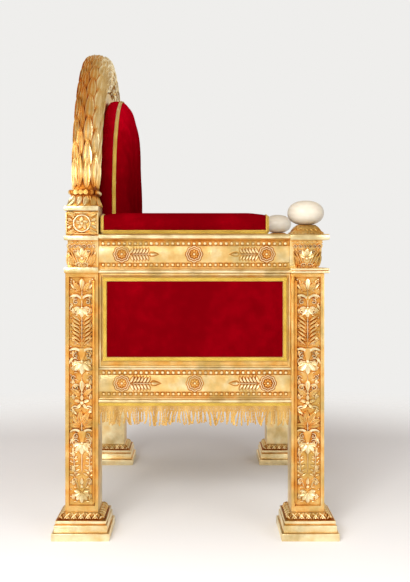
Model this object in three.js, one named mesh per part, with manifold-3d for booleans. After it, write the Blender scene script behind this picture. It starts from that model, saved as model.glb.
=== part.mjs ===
// A gilded Empire armchair throne with a laurel hoop back, in millimetres.
// +Z is up and the floor is z = 0. The front faces -Y, the left side is -X.

import * as THREE from 'three';
import { mergeVertices } from 'three/addons/utils/BufferGeometryUtils.js';
import Module from 'manifold-3d';

const wasm = await Module();
wasm.setup();

// Clearances
const GAP = 0.3;                 // between pieces that touch
const ARCH_CLEARANCE = 3;        // between the hoop and the frame inside it
const SINK = 1.5;                // how deep an ornament is rooted in its ground

// Feet
const FOOT_WIDTH = 144;          // across the throne
const FOOT_DEPTH = 136;          // front to back
const FOOT_SLAB = 18.5;
const FOOT_BAND = 17.5;          // straight band above the slab
const FOOT_FILLET = 10;
const FOOT_LEAF_BAND = 14;
const FOOT_STEP = 5.5;           // set-back of the band from the slab
const FOOT_FILLET_STEP = 8;      // set-back of the fillet from the slab
const FOOT_LEAF_STEP = 13;       // set-back of the leaf band's foot from the slab
const FOOT_LEAF_SIZE = 15;
const FOOT_LEAVES = 4;           // on each side of the leaf band
const FRONT_FOOT_FORWARD = 3;    // the front feet stand this far ahead of their posts

// Posts
const POST_SPREAD = 363;         // from the middle plane to each post's axis
const POST_WIDTH = 86;
const POST_DEPTH = 78;
const POST_RUN = 537;            // between the axes of the front and rear posts
const PANEL_SINK = 5;            // depth of the sunk panels
const PANEL_STILE = 8.5;
const PANEL_FOOT_MARGIN = 15;
const PLUME_LENGTH = 76;         // of the two plumes low on each post
const PENDANT_LENGTH = 45;       // of the hanging leaf half way up
const FRONT_FAN_LENGTH = 72;     // of the fan on a front post's front face

// Rails
const SEAT_RAIL_Z = 319;         // underside of the seat rails
const SEAT_RAIL_HEIGHT = 82;
const ARM_RAIL_Z = 627;          // underside of the arm rails
const ARM_TOP_MOULDING = 12;
const RAIL_THICKNESS = 66;
const RAIL_SETBACK = 10;         // of the rail's field behind the posts' outer faces
const MOULDING_HEIGHT = 9;
const MOULDING_PROUD = 7;
const BEAD_PITCH = 12.8;
const BEAD_WIDTH = 9.4;
const BEAD_HEIGHT = 4;
const BEAD_SEAM = 0.6;            // height of the strip where two beads meet
const BEAD_ROW_LOW = 20;         // above the rail's underside
const BEAD_ROW_HIGH = 71;
const ROSETTE_RADIUS = 19.5;
const ROSETTE_HEIGHT = 8;
const ROSETTE_INSET = 55;        // of the end rosettes from the posts
const FRONT_ROSETTE_INSET = 70;
const PALMETTE_LENGTH = 66;

// Arm blocks and balls
const CAPITAL_PROUD = 11;        // how far the plates project at the front and outside
const CAPITAL_TAPER = 10;        // how far the block narrows to its foot
const CAPITAL_PLATE = 13;
const CAPITAL_BLOCK = 65;
const CAPITAL_BAND = 20;         // upper band of the block
const CAPITAL_ABACUS = 15;
const CAPITAL_REAR_PROUD = 3;    // how far the block's flat rear face stands behind the post
const COLLAR_HEIGHT = 23;
const COLLAR_FOOT = 40;          // half width of the leaf collar at its foot
const COLLAR_TOP = 21;
const BALL_RADIUS = 44.5;
const BALL_HEIGHT = 58;
const BALL_SIDES = 14;

// Heads of the rear posts
const HEAD_PLINTH = 14;
const HEAD_LEAF_BLOCK = 65;
const HEAD_FILLET = 12;
const HEAD_ROSETTE_BLOCK = 56;
const HEAD_TOP = 13;
const HEAD_PROUD = 2.5;          // how far the heads' fillets project

// Laurel hoop
const HOOP_SETBACK = 4;          // of the hoop's outer face from the posts' outer faces
const HOOP_WIDTH = 98;
const HOOP_BACK = 26;            // of the hoop's flat rear face behind the posts' axes
const HOOP_DEPTH = 60;
const CUP_HEIGHT = 39;           // leaf cup between the post's head and the hoop
const CUP_FLARE = 10;
const LAUREL_TIERS = 11;         // leaf tiers on each half
const LAUREL_LIFT = 6;           // how far a leaf's tip stands over the next leaf

// Velvet and braid
const FRAME_BAND = 10;           // gilded band that shows round the side panels
const FRAME_FOOT_BAND = 17;
const FRAME_THICKNESS = 44;
const FRAME_SETBACK = 2;         // of the side frames behind the rails' fields
const BRAID_WIDTH = 9.5;
const BRAID_THICKNESS = 3;
const PANEL_CROWN = 9;           // how far the side panels swell
const LINING_CROWN = 24;
const LINING_INSET = 4;
const ARM_PAD_HEIGHT = 49;
const ARM_PAD_FRONT_SPACE = 45;  // from the arm block to the pad
const ARM_PAD_WIDTH = 70;
const ARM_PAD_CORNER = 10;
const ARM_PAD_SETBACK = 1;
const FRINGE_DROP = 53;
const FRINGE_THICKNESS = 8;
const FRINGE_TASSELS = 9;
const ARCH_STEPS = 14;           // facets round the arched back
const DECK_THICKNESS = 24;
const SEAT_HEIGHT = 98;          // of the cushion above the deck
const SEAT_FRONT_INSET = 6;      // of the cushion behind the front rail's field
const SEAT_SIDE_CLEARANCE = 3;
const SEAT_CORNER = 14;
const BACK_CLEARANCE = 4;        // between the back pad and the seat cushion
const BACK_THICKNESS = 46;
const BACK_FRAME_SETBACK = 6;    // of the back frame from the hoop's rear face
const BACK_PAD_INSET = 14;       // of the back pad's edge from the hoop's inner face
const BACK_BOXING = 42;          // straight part of the back pad's thickness
const BACK_CROWN = 34;
const BACK_PANEL_CROWN = 6;

// Places worked out from the sizes
const POST_REAR_Y = (POST_RUN + FRONT_FOOT_FORWARD) / 2;
const POST_FRONT_Y = POST_REAR_Y - POST_RUN;
const POST_FACE = POST_SPREAD + POST_WIDTH / 2;
const POST_INNER = POST_SPREAD - POST_WIDTH / 2;
const FOOT_HEIGHT = FOOT_SLAB + FOOT_BAND + FOOT_FILLET + FOOT_LEAF_BAND;
const RAIL_FACE = POST_FACE - RAIL_SETBACK;
const CAPITAL_BACK = POST_DEPTH / 2 + CAPITAL_REAR_PROUD;
const RAIL_FRONT_Y = POST_FRONT_Y + POST_DEPTH / 2 + GAP;
const RAIL_REAR_Y = POST_REAR_Y - POST_DEPTH / 2 - GAP;
const ARM_RAIL_FRONT_Y = POST_FRONT_Y + CAPITAL_BACK + GAP;
const ARM_PAD_FRONT_Y = ARM_RAIL_FRONT_Y + ARM_PAD_FRONT_SPACE;
const SEAT_RAIL_TOP = SEAT_RAIL_Z + SEAT_RAIL_HEIGHT;
const ARM_RAIL_TOP = ARM_RAIL_Z + SEAT_RAIL_HEIGHT + ARM_TOP_MOULDING;
const CAPITAL_HEIGHT = CAPITAL_PLATE + CAPITAL_BLOCK + CAPITAL_ABACUS;
const COLLAR_TOP_Z = ARM_RAIL_Z + CAPITAL_HEIGHT + COLLAR_HEIGHT;
const HEAD_HEIGHT = HEAD_PLINTH + HEAD_LEAF_BLOCK + HEAD_FILLET + HEAD_ROSETTE_BLOCK + HEAD_TOP;
const REAR_POST_TOP = ARM_RAIL_Z + HEAD_HEIGHT;
const HOOP_CENTRE_Z = REAR_POST_TOP + CUP_HEIGHT;
const HOOP_OUTER = POST_FACE - HOOP_SETBACK;
const HOOP_INNER = HOOP_OUTER - HOOP_WIDTH;
const HOOP_RADIUS = (HOOP_OUTER + HOOP_INNER) / 2;
const HOOP_HALF = HOOP_WIDTH / 2;
const BACK_PAD_RADIUS = HOOP_INNER - BACK_PAD_INSET;
const HOOP_BACK_Y = POST_REAR_Y + HOOP_BACK;
const HOOP_FRONT_Y = HOOP_BACK_Y - HOOP_DEPTH;
const FRAME_BACK_Y = HOOP_BACK_Y - BACK_FRAME_SETBACK;
const FRAME_FRONT_Y = FRAME_BACK_Y - BACK_THICKNESS;
const SEAT_TOP = SEAT_RAIL_TOP + SEAT_HEIGHT;
const FRAME_FACE = RAIL_FACE - FRAME_SETBACK;
const LINING_FACE = FRAME_FACE - FRAME_THICKNESS;

// Finishes
const gilding = (name) => finish(name, 0xe0b46a, 0.32, 0.85);
const velvet = (name) => finish(name, 0x8c0a12, 0.9, 0);
const goldBraid = (name) => finish(name, 0xc9a043, 0.7, 0.2);
const ivory = (name) => finish(name, 0xefe4cf, 0.3, 0);

function finish(name, color, roughness, metalness) {
  const material = new THREE.MeshStandardMaterial({ color, roughness, metalness });
  material.name = name;
  return material;
}

// Solids and joins

function merged(geometry) {
  const bare = geometry.clone();
  bare.deleteAttribute('normal');
  bare.deleteAttribute('uv');
  return mergeVertices(bare, 1e-4);
}

function solid(geometry) {
  const shared = merged(geometry);
  return new wasm.Manifold(new wasm.Mesh({
    numProp: 3,
    vertProperties: new Float32Array(shared.attributes.position.array),
    triVerts: new Uint32Array(shared.index.array),
  }));
}

function geometryOf(manifold) {
  const mesh = manifold.getMesh();
  const geometry = new THREE.BufferGeometry();
  geometry.setAttribute('position', new THREE.BufferAttribute(mesh.vertProperties, 3));
  geometry.setIndex(new THREE.BufferAttribute(mesh.triVerts, 1));
  return geometry;
}

function join(body, ornaments) {
  let result = solid(body);
  for (const ornament of ornaments) {
    result = result.add(solid(ornament));
  }
  return geometryOf(result);
}

function cut(body, tools) {
  let result = solid(body);
  for (const tool of tools) {
    result = result.subtract(solid(tool));
  }
  return geometryOf(result);
}

function box(x0, x1, y0, y1, z0, z1) {
  const geometry = new THREE.BoxGeometry(x1 - x0, y1 - y0, z1 - z0);
  geometry.translate((x0 + x1) / 2, (y0 + y1) / 2, (z0 + z1) / 2);
  return geometry;
}

// A closed skin over rings of points that all have the same count
function loft(rings, capOutline) {
  const count = rings[0].length;
  const positions = rings.flat().flatMap((p) => [p.x, p.y, p.z]);
  const index = [];
  for (let ring = 0; ring + 1 < rings.length; ring += 1) {
    for (let i = 0; i < count; i += 1) {
      const a = ring * count + i;
      const b = ring * count + ((i + 1) % count);
      index.push(a, b, b + count, a, b + count, a + count);
    }
  }
  const last = (rings.length - 1) * count;
  for (const [a, b, c] of THREE.ShapeUtils.triangulateShape(capOutline, [])) {
    index.push(c, b, a);
    index.push(last + a, last + b, last + c);
  }
  const geometry = new THREE.BufferGeometry();
  geometry.setAttribute('position', new THREE.Float32BufferAttribute(positions, 3));
  geometry.setIndex(index);
  return geometry;
}

// Square mouldings: each level is [height, x0, x1, y0, y1]
function squareStack(levels) {
  const rings = levels.map(([z, x0, x1, y0, y1]) => [
    new THREE.Vector3(x0, y0, z),
    new THREE.Vector3(x1, y0, z),
    new THREE.Vector3(x1, y1, z),
    new THREE.Vector3(x0, y1, z),
  ]);
  const square = [[0, 0], [1, 0], [1, 1], [0, 1]].map(([x, y]) => new THREE.Vector2(x, y));
  return loft(rings, square);
}

// Soft pieces: an outline drawn at several heights, each with its inset
function padded(outline, levels, toSpace) {
  const rings = levels.map(([height, inset]) => outline(inset).map((p) => toSpace(p.x, p.y, height)));
  return loft(rings, outline(0));
}

function rectangle(x0, x1, y0, y1) {
  return (inset) => [
    new THREE.Vector2(x0 + inset, y0 + inset),
    new THREE.Vector2(x1 - inset, y0 + inset),
    new THREE.Vector2(x1 - inset, y1 - inset),
    new THREE.Vector2(x0 + inset, y1 - inset),
  ];
}

function roundedRectangle(x0, x1, y0, y1, radius) {
  return (inset) => {
    const points = [];
    const corners = [[x1, y0, -90], [x1, y1, 0], [x0, y1, 90], [x0, y0, 180]];
    for (const [x, y, start] of corners) {
      const cx = x + (x === x1 ? -1 : 1) * (radius + inset);
      const cy = y + (y === y1 ? -1 : 1) * (radius + inset);
      for (const turn of [0, 90]) {
        const angle = THREE.MathUtils.degToRad(start + turn);
        points.push(new THREE.Vector2(cx + radius * Math.cos(angle), cy + radius * Math.sin(angle)));
      }
    }
    return points;
  };
}

// Straight sides below the centre and a half circle above it
function archOutline(radius, halfWidth, footZ, shoulderZ, steps) {
  return (inset) => {
    const points = [
      new THREE.Vector2(-halfWidth + inset, footZ + inset),
      new THREE.Vector2(halfWidth - inset, footZ + inset),
    ];
    if (halfWidth > radius) {
      points.push(new THREE.Vector2(halfWidth - inset, shoulderZ));
      points.push(new THREE.Vector2(radius - inset, shoulderZ));
    }
    for (let step = 0; step <= steps; step += 1) {
      const angle = (Math.PI * step) / steps;
      const reach = radius - inset;
      points.push(new THREE.Vector2(reach * Math.cos(angle), HOOP_CENTRE_Z + reach * Math.sin(angle)));
    }
    if (halfWidth > radius) {
      points.push(new THREE.Vector2(-radius + inset, shoulderZ));
      points.push(new THREE.Vector2(-halfWidth + inset, shoulderZ));
    }
    return points;
  };
}

// A flat ring between an outline and its inset
function band(outline, inset, width, toSpace, height, thickness) {
  const outer = padded((extra) => outline(inset + extra), [[height, 0], [height + thickness, 0]], toSpace);
  const inner = padded((extra) => outline(inset + width + extra),
    [[height - 1, 0], [height + thickness + 1, 0]], toSpace);
  return cut(outer, [inner]);
}

function mirrored(geometry) {
  const copy = merged(geometry);
  copy.applyMatrix4(new THREE.Matrix4().makeScale(-1, 1, 1));
  const index = copy.index.array;
  for (let i = 0; i < index.length; i += 3) {
    [index[i], index[i + 1]] = [index[i + 1], index[i]];
  }
  return copy;
}

// Carving. Each motif lies on its local XY plane, grows along +Y and rises along +Z

// A pointed leaf whose tip stands clear of its ground
function leaf(length, width, height, lift = 0) {
  const half = width / 2;
  const belly = length * 0.45;
  const geometry = new THREE.BufferGeometry();
  const positions = [
    0, 0, -SINK, half, belly, -SINK, 0, length, lift - SINK * (lift > 0 ? 0 : 1),
    -half, belly, -SINK, 0, belly, height, 0, length - 0.5, -SINK - 0.5,
  ];
  geometry.setAttribute('position', new THREE.Float32BufferAttribute(positions, 3));
  geometry.setIndex([0, 1, 4, 1, 2, 4, 2, 3, 4, 3, 0, 4, 1, 5, 2, 3, 2, 5, 0, 5, 1, 0, 3, 5]);
  return geometry;
}

function knob(radius, height, sides) {
  const geometry = new THREE.ConeGeometry(radius, height + SINK, sides);
  geometry.rotateX(Math.PI / 2);
  geometry.translate(0, 0, (height - SINK) / 2);
  return geometry;
}

// A lobed flower: low rim, raised petals and a button
function rosette(radius, height, petals) {
  const levels = [[1, -SINK], [0.62, height * 0.8], [0.12, height]];
  const rings = levels.map(([share, z]) => {
    const ring = [];
    for (let i = 0; i < petals * 2; i += 1) {
      const angle = (Math.PI * i) / petals;
      const reach = radius * share * (i % 2 === 0 ? 1 : 0.8);
      ring.push(new THREE.Vector3(reach * Math.cos(angle), reach * Math.sin(angle), z));
    }
    return ring;
  });
  return loft(rings, rings[2].map((p) => new THREE.Vector2(p.x, p.y)));
}

// Moves a motif onto a face: at a point, growing along up, standing out along out
function onFace(motif, point, up, out, turn = 0) {
  const across = new THREE.Vector3().crossVectors(up, out);
  const placed = motif.clone();
  placed.applyMatrix4(new THREE.Matrix4().makeRotationZ(turn));
  placed.applyMatrix4(new THREE.Matrix4().makeBasis(across, up, out));
  placed.applyMatrix4(new THREE.Matrix4().makeTranslation(point.x, point.y, point.z));
  return placed;
}

function fan(leaves, spread, length, width, height) {
  const motifs = [];
  for (let i = 0; i < leaves; i += 1) {
    const share = leaves === 1 ? 0 : i / (leaves - 1) - 0.5;
    const piece = leaf(length * (1 - Math.abs(share) * 0.5), width, height);
    piece.applyMatrix4(new THREE.Matrix4().makeRotationZ(-share * spread));
    motifs.push(piece);
  }
  return motifs;
}

const UP = new THREE.Vector3(0, 0, 1);
const LEFT = new THREE.Vector3(-1, 0, 0);
const RIGHT = new THREE.Vector3(1, 0, 0);
const FORWARD = new THREE.Vector3(0, -1, 0);
const BACKWARD = new THREE.Vector3(0, 1, 0);

// Feet

function foot(postY, forward) {
  const x = -POST_SPREAD;
  const y = postY - forward;
  const halfX = FOOT_WIDTH / 2;
  const halfY = FOOT_DEPTH / 2;
  const level = (z, stepIn) => [z, x - halfX + stepIn, x + halfX - stepIn, y - halfY + stepIn,
    y + halfY - stepIn];
  const bandTop = FOOT_SLAB + FOOT_BAND;
  const filletTop = bandTop + FOOT_FILLET;
  const topHalfX = POST_WIDTH / 2;
  const topHalfY = POST_DEPTH / 2 + forward;
  const body = squareStack([
    level(0, 0),
    level(FOOT_SLAB, 0),
    level(FOOT_SLAB + 0.5, FOOT_STEP),
    level(bandTop, FOOT_STEP + 1),
    level(bandTop + 1.5, FOOT_FILLET_STEP + 2),
    level(bandTop + 2.5, FOOT_FILLET_STEP),
    level(filletTop, FOOT_FILLET_STEP),
    level(filletTop + 0.5, FOOT_LEAF_STEP),
    [FOOT_HEIGHT, x - topHalfX, x + topHalfX, y - topHalfY, y + topHalfY],
  ]);
  const [leafX, leafY] = [halfX - FOOT_LEAF_STEP, halfY - FOOT_LEAF_STEP];
  const slope = leafX - topHalfX;
  const motifs = [];
  const sides = [[LEFT, leafX, leafY], [RIGHT, leafX, leafY], [FORWARD, leafY, leafX],
    [BACKWARD, leafY, leafX]];
  for (const [out, reach, halfRun] of sides) {
    const across = new THREE.Vector3().crossVectors(UP, out);
    const rise = UP.clone().multiplyScalar(-FOOT_LEAF_BAND).addScaledVector(out, slope).normalize();
    const normal = new THREE.Vector3().copy(out).multiplyScalar(FOOT_LEAF_BAND)
      .addScaledVector(UP, slope).normalize();
    for (let i = 0; i < FOOT_LEAVES; i += 1) {
      const shift = ((i + 0.5) / FOOT_LEAVES - 0.5) * halfRun * 1.48;
      const top = new THREE.Vector3(x, y, FOOT_HEIGHT - 0.8)
        .addScaledVector(out, reach - slope)
        .addScaledVector(across, shift);
      motifs.push(onFace(leaf(FOOT_LEAF_SIZE, FOOT_LEAF_SIZE, 3.5), top, rise, normal));
    }
  }
  return join(body, motifs);
}

// Posts

function candelabra(y, bottom, top) {
  const face = new THREE.Vector3(-POST_FACE + PANEL_SINK, y, 0);
  const at = (z, side = 0) => face.clone().setZ(z).addScaledVector(FORWARD, side);
  const run = top - bottom;
  const motifs = [];
  const add = (shape, share, side, turn) => {
    motifs.push(onFace(shape, at(bottom + run * share, side), UP, LEFT, turn));
  };
  for (const shape of fan(3, 1.8, 36, 15, 4)) {
    add(shape, 0.92, 0, 0);
    add(shape, 0.52, 0, 0);
  }
  for (const share of [0.9, 0.49]) {
    add(knob(9, 4, 5), share, -13, 0);
    add(knob(9, 4, 5), share, 13, 0);
  }
  for (let i = 0; i < 3; i += 1) {
    add(leaf(29, 14, 4), 0.64 + i * 0.07, 1, -0.85);
    add(leaf(29, 14, 4), 0.64 + i * 0.07, -1, 0.85);
  }
  add(leaf(PENDANT_LENGTH, 14, 4), 0.47, 0, Math.PI);
  for (const shape of fan(3, 1.9, 40, 15, 4)) {
    add(shape, 0.33, 0, 0);
    add(shape, 0.08, 0, Math.PI);
  }
  add(leaf(PLUME_LENGTH, 16, 4), 0.12, -10, 0.1);
  add(leaf(PLUME_LENGTH, 16, 4), 0.12, 10, -0.1);
  return motifs;
}

function sunkPanel(y, bottom, top) {
  const halfY = POST_DEPTH / 2 - PANEL_STILE;
  return box(-POST_FACE - 1, -POST_FACE + PANEL_SINK, y - halfY, y + halfY, bottom, top);
}

function postPanels(y, bottom, top, faceY, out) {
  const tools = [sunkPanel(y, bottom, top)];
  const halfX = POST_WIDTH / 2 - PANEL_STILE;
  const near = faceY - out * PANEL_SINK;
  const far = faceY + out;
  tools.push(box(-POST_SPREAD - halfX, -POST_SPREAD + halfX, Math.min(near, far), Math.max(near, far),
    bottom, top));
  return tools;
}

function frontPost() {
  const y = POST_FRONT_Y;
  const bottom = FOOT_HEIGHT + PANEL_FOOT_MARGIN;
  const top = ARM_RAIL_Z - PANEL_STILE;
  const block = box(-POST_FACE, -POST_INNER, y - POST_DEPTH / 2, y + POST_DEPTH / 2,
    FOOT_HEIGHT + GAP, ARM_RAIL_Z);
  const faceY = y - POST_DEPTH / 2;
  const body = cut(block, postPanels(y, bottom, top, faceY, -1));
  const centre = new THREE.Vector3(-POST_SPREAD, faceY + PANEL_SINK, (bottom + top) / 2);
  const front = fan(3, 1.8, FRONT_FAN_LENGTH, 24, 4).map((shape) => onFace(shape, centre, UP, FORWARD));
  return join(body, [...candelabra(y, bottom, top), ...front]);
}

function rearPost() {
  const y = POST_REAR_Y;
  const bottom = FOOT_HEIGHT + PANEL_FOOT_MARGIN;
  const top = ARM_RAIL_Z - PANEL_STILE;
  const level = (z, grow) => [z, -POST_FACE - grow, -POST_INNER, y - POST_DEPTH / 2,
    y + POST_DEPTH / 2 + grow];
  const plinthTop = ARM_RAIL_Z + HEAD_PLINTH;
  const leafTop = plinthTop + HEAD_LEAF_BLOCK;
  const filletTop = leafTop + HEAD_FILLET;
  const rosetteTop = filletTop + HEAD_ROSETTE_BLOCK;
  const block = squareStack([
    level(FOOT_HEIGHT + GAP, 0),
    level(ARM_RAIL_Z, 0),
    level(ARM_RAIL_Z + 1, HEAD_PROUD),
    level(plinthTop, HEAD_PROUD),
    level(plinthTop + 1, -3),
    level(leafTop - 1, 0),
    level(leafTop, HEAD_PROUD),
    level(filletTop - 1, HEAD_PROUD),
    level(filletTop, 0),
    level(rosetteTop, 0),
    level(rosetteTop + 1, HEAD_PROUD),
    level(REAR_POST_TOP, HEAD_PROUD),
  ]);
  const body = cut(block, postPanels(y, bottom, top, y + POST_DEPTH / 2, 1));
  const motifs = candelabra(y, bottom, top);
  const foot = new THREE.Vector3(-POST_FACE + 3, y, plinthTop + 2);
  for (const shape of fan(3, 1.3, HEAD_LEAF_BLOCK - 6, 26, 6)) {
    motifs.push(onFace(shape, foot, UP, LEFT));
  }
  const middle = new THREE.Vector3(-POST_FACE, y, (filletTop + rosetteTop) / 2);
  motifs.push(onFace(rosette(ROSETTE_RADIUS - 2, ROSETTE_HEIGHT - 2, 5), middle, UP, LEFT));
  for (let i = 0; i < 4; i += 1) {
    const angle = Math.PI / 4 + (i * Math.PI) / 2;
    const corner = middle.clone().addScaledVector(FORWARD, 36 * Math.cos(angle))
      .addScaledVector(UP, 30 * Math.sin(angle));
    motifs.push(onFace(leaf(16, 10, 3), corner, UP, LEFT, angle + Math.PI / 2));
  }
  return join(body, motifs);
}

// Arm blocks with abacus and leaf collar, and the balls

function capital() {
  const y = POST_FRONT_Y;
  const rear = y + CAPITAL_BACK;
  const level = (dz, front, outer, back = rear) => [
    ARM_RAIL_Z + dz, -POST_FACE - outer, -POST_INNER + outer, y - POST_DEPTH / 2 - front, back];
  const blockTop = CAPITAL_PLATE + CAPITAL_BLOCK;
  const square = (dz, half) => [ARM_RAIL_Z + dz, -POST_SPREAD - half, -POST_SPREAD + half, y - half,
    y + half];
  const proud = CAPITAL_PROUD;
  const inner = CAPITAL_PROUD / 2;
  const joint = CAPITAL_PLATE / 2;
  const body = squareStack([
    level(GAP, proud / 2, inner / 2),
    level(1.5, proud, inner),
    level(joint - 0.5, proud, inner),
    level(joint, proud - 3, inner - 2),
    level(joint + 0.5, proud, inner),
    level(CAPITAL_PLATE, proud, inner),
    level(CAPITAL_PLATE + 1, -CAPITAL_TAPER, -CAPITAL_TAPER / 2),
    level(blockTop - CAPITAL_BAND, -CAPITAL_TAPER * 0.4, -1),
    level(blockTop - CAPITAL_BAND + 1, 0, 1),
    level(blockTop, 0, 1),
    level(blockTop + 2, proud, inner),
    level(CAPITAL_HEIGHT, proud, inner),
    square(CAPITAL_HEIGHT + 1, COLLAR_FOOT),
    square(CAPITAL_HEIGHT + COLLAR_HEIGHT, COLLAR_TOP),
  ]);
  const motifs = [];
  const faces = [
    [LEFT, new THREE.Vector3(-POST_FACE + 3, y, ARM_RAIL_Z + CAPITAL_PLATE)],
    [FORWARD, new THREE.Vector3(-POST_SPREAD, y - POST_DEPTH / 2 + 9, ARM_RAIL_Z + CAPITAL_PLATE)],
  ];
  for (const [out, foot] of faces) {
    for (const shape of fan(3, 1.3, CAPITAL_BLOCK - 20, 24, 7)) {
      motifs.push(onFace(shape, foot, UP, out));
    }
  }
  const lean = COLLAR_FOOT - COLLAR_TOP;
  for (const out of [LEFT, FORWARD, BACKWARD, RIGHT]) {
    const foot = new THREE.Vector3(-POST_SPREAD, y, ARM_RAIL_Z + CAPITAL_HEIGHT + 1)
      .addScaledVector(out, COLLAR_FOOT);
    const rise = UP.clone().multiplyScalar(COLLAR_HEIGHT).addScaledVector(out, -lean).normalize();
    const normal = out.clone().multiplyScalar(COLLAR_HEIGHT).addScaledVector(UP, lean).normalize();
    const across = new THREE.Vector3().crossVectors(UP, out);
    for (const shift of [-19, 19]) {
      const root = foot.clone().addScaledVector(across, shift);
      motifs.push(onFace(leaf(26, 30, 5), root, rise, normal, shift * 0.015));
    }
  }
  return join(body, motifs);
}

function ball() {
  const middle = COLLAR_TOP_Z + GAP + BALL_HEIGHT / 2;
  const profile = [];
  const steps = 7;
  for (let i = 0; i <= steps; i += 1) {
    const angle = -Math.PI / 2 + (Math.PI * i) / steps;
    const reach = i === 0 || i === steps ? 0 : BALL_RADIUS * Math.cos(angle);
    profile.push(new THREE.Vector2(reach, (BALL_HEIGHT / 2) * Math.sin(angle)));
  }
  profile.splice(1, 0, new THREE.Vector2(BALL_RADIUS * 0.2, -BALL_HEIGHT / 2));
  const geometry = new THREE.LatheGeometry(profile, BALL_SIDES);
  geometry.rotateX(Math.PI / 2);
  geometry.translate(-POST_SPREAD, POST_FRONT_Y, middle);
  return geometry;
}

// Rails

function railSection(height, topMoulding) {
  const back = -RAIL_THICKNESS;
  const proud = MOULDING_PROUD;
  const points = [
    [back, 0], [proud - 2, 0], [proud, 2.5], [proud, MOULDING_HEIGHT - 2.5], [proud - 2, MOULDING_HEIGHT],
    [0, MOULDING_HEIGHT], [0, height],
  ];
  if (topMoulding > 0) {
    const top = height + topMoulding;
    points.push([proud - 3, height + 1], [proud, height + topMoulding / 2], [proud - 3, top - 1], [0, top]);
    points.push([back, top]);
  } else {
    points.push([back, height]);
  }
  return points;
}

// A rail whose field stands at a distance out from an axis, running from start to end
function railBody(section, length, place) {
  const shape = new THREE.Shape(section.map(([d, z]) => new THREE.Vector2(d, z)));
  const geometry = new THREE.ExtrudeGeometry(shape, { depth: length, bevelEnabled: false });
  geometry.applyMatrix4(place);
  return geometry;
}

// A row of touching beads as one strip, centred on its middle
function beads(length) {
  const count = Math.floor((length - 4) / BEAD_PITCH);
  const half = BEAD_WIDTH / 2;
  const start = (-count * BEAD_PITCH) / 2;
  const positions = [];
  const index = [];
  for (let i = 0; i <= count; i += 1) {
    const x = start + i * BEAD_PITCH;
    positions.push(x, -half, BEAD_SEAM, x, half, BEAD_SEAM);
  }
  const firstPeak = 2 * (count + 1);
  for (let i = 0; i < count; i += 1) {
    positions.push(start + (i + 0.5) * BEAD_PITCH, 0, BEAD_HEIGHT);
    const [near, far] = [2 * i, 2 * i + 1];
    const peak = firstPeak + i;
    index.push(near, near + 2, peak, near + 2, far + 2, peak, far + 2, far, peak, far, near, peak);
  }
  // Below the seams the strip has plain walls: four knees just above the ground, four roots in it
  const knee = firstPeak + count;
  const root = knee + 4;
  for (const z of [BEAD_SEAM / 3, -SINK]) {
    positions.push(start, -half, z, -start, -half, z, -start, half, z, start, half, z);
  }
  for (let i = 0; i < count; i += 1) {
    index.push(knee, 2 * i + 2, 2 * i, knee + 3, 2 * i + 1, 2 * i + 3);
  }
  index.push(knee, knee + 1, 2 * count, knee + 3, 2 * count + 1, knee + 2);
  index.push(knee, 0, 1, knee, 1, knee + 3, knee + 1, knee + 2, 2 * count + 1, knee + 1, 2 * count + 1,
    2 * count);
  for (let side = 0; side < 4; side += 1) {
    const next = (side + 1) % 4;
    index.push(root + side, root + next, knee + next, root + side, knee + next, knee + side);
  }
  index.push(root, root + 2, root + 1, root, root + 3, root + 2);
  const geometry = new THREE.BufferGeometry();
  geometry.setAttribute('position', new THREE.Float32BufferAttribute(positions, 3));
  geometry.setIndex(index);
  return geometry;
}

function sideRail(bottom, front, rear, topMoulding, palmettesOut) {
  const length = rear - front;
  const place = new THREE.Matrix4().makeBasis(LEFT, UP, BACKWARD)
    .setPosition(-RAIL_FACE, front, bottom);
  const section = railSection(SEAT_RAIL_HEIGHT, topMoulding);
  const body = railBody(section, length, place);
  const middle = (front + rear) / 2;
  const field = bottom + (BEAD_ROW_LOW + BEAD_ROW_HIGH) / 2;
  const motifs = [];
  for (const row of [BEAD_ROW_LOW, BEAD_ROW_HIGH]) {
    motifs.push(onFace(beads(length), new THREE.Vector3(-RAIL_FACE, middle, bottom + row), UP, LEFT));
  }
  const ends = [RAIL_FRONT_Y + ROSETTE_INSET, RAIL_REAR_Y - ROSETTE_INSET];
  for (const y of [ends[0], (ends[0] + ends[1]) / 2, ends[1]]) {
    motifs.push(onFace(rosette(ROSETTE_RADIUS, ROSETTE_HEIGHT, 5), new THREE.Vector3(-RAIL_FACE, y, field),
      UP, LEFT, Math.PI / 2));
  }
  for (const [y, along] of [[ends[0], 1], [ends[1], -1]]) {
    const start = y + along * (ROSETTE_RADIUS + (palmettesOut ? PALMETTE_LENGTH + 14 : 6));
    const turn = (along > 0) === palmettesOut ? -Math.PI / 2 : Math.PI / 2;
    for (const shape of fan(5, 2.2, PALMETTE_LENGTH * 0.82, 13, 4)) {
      motifs.push(onFace(shape, new THREE.Vector3(-RAIL_FACE, start, field), UP, LEFT, turn));
    }
  }
  return join(body, motifs);
}

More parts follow.
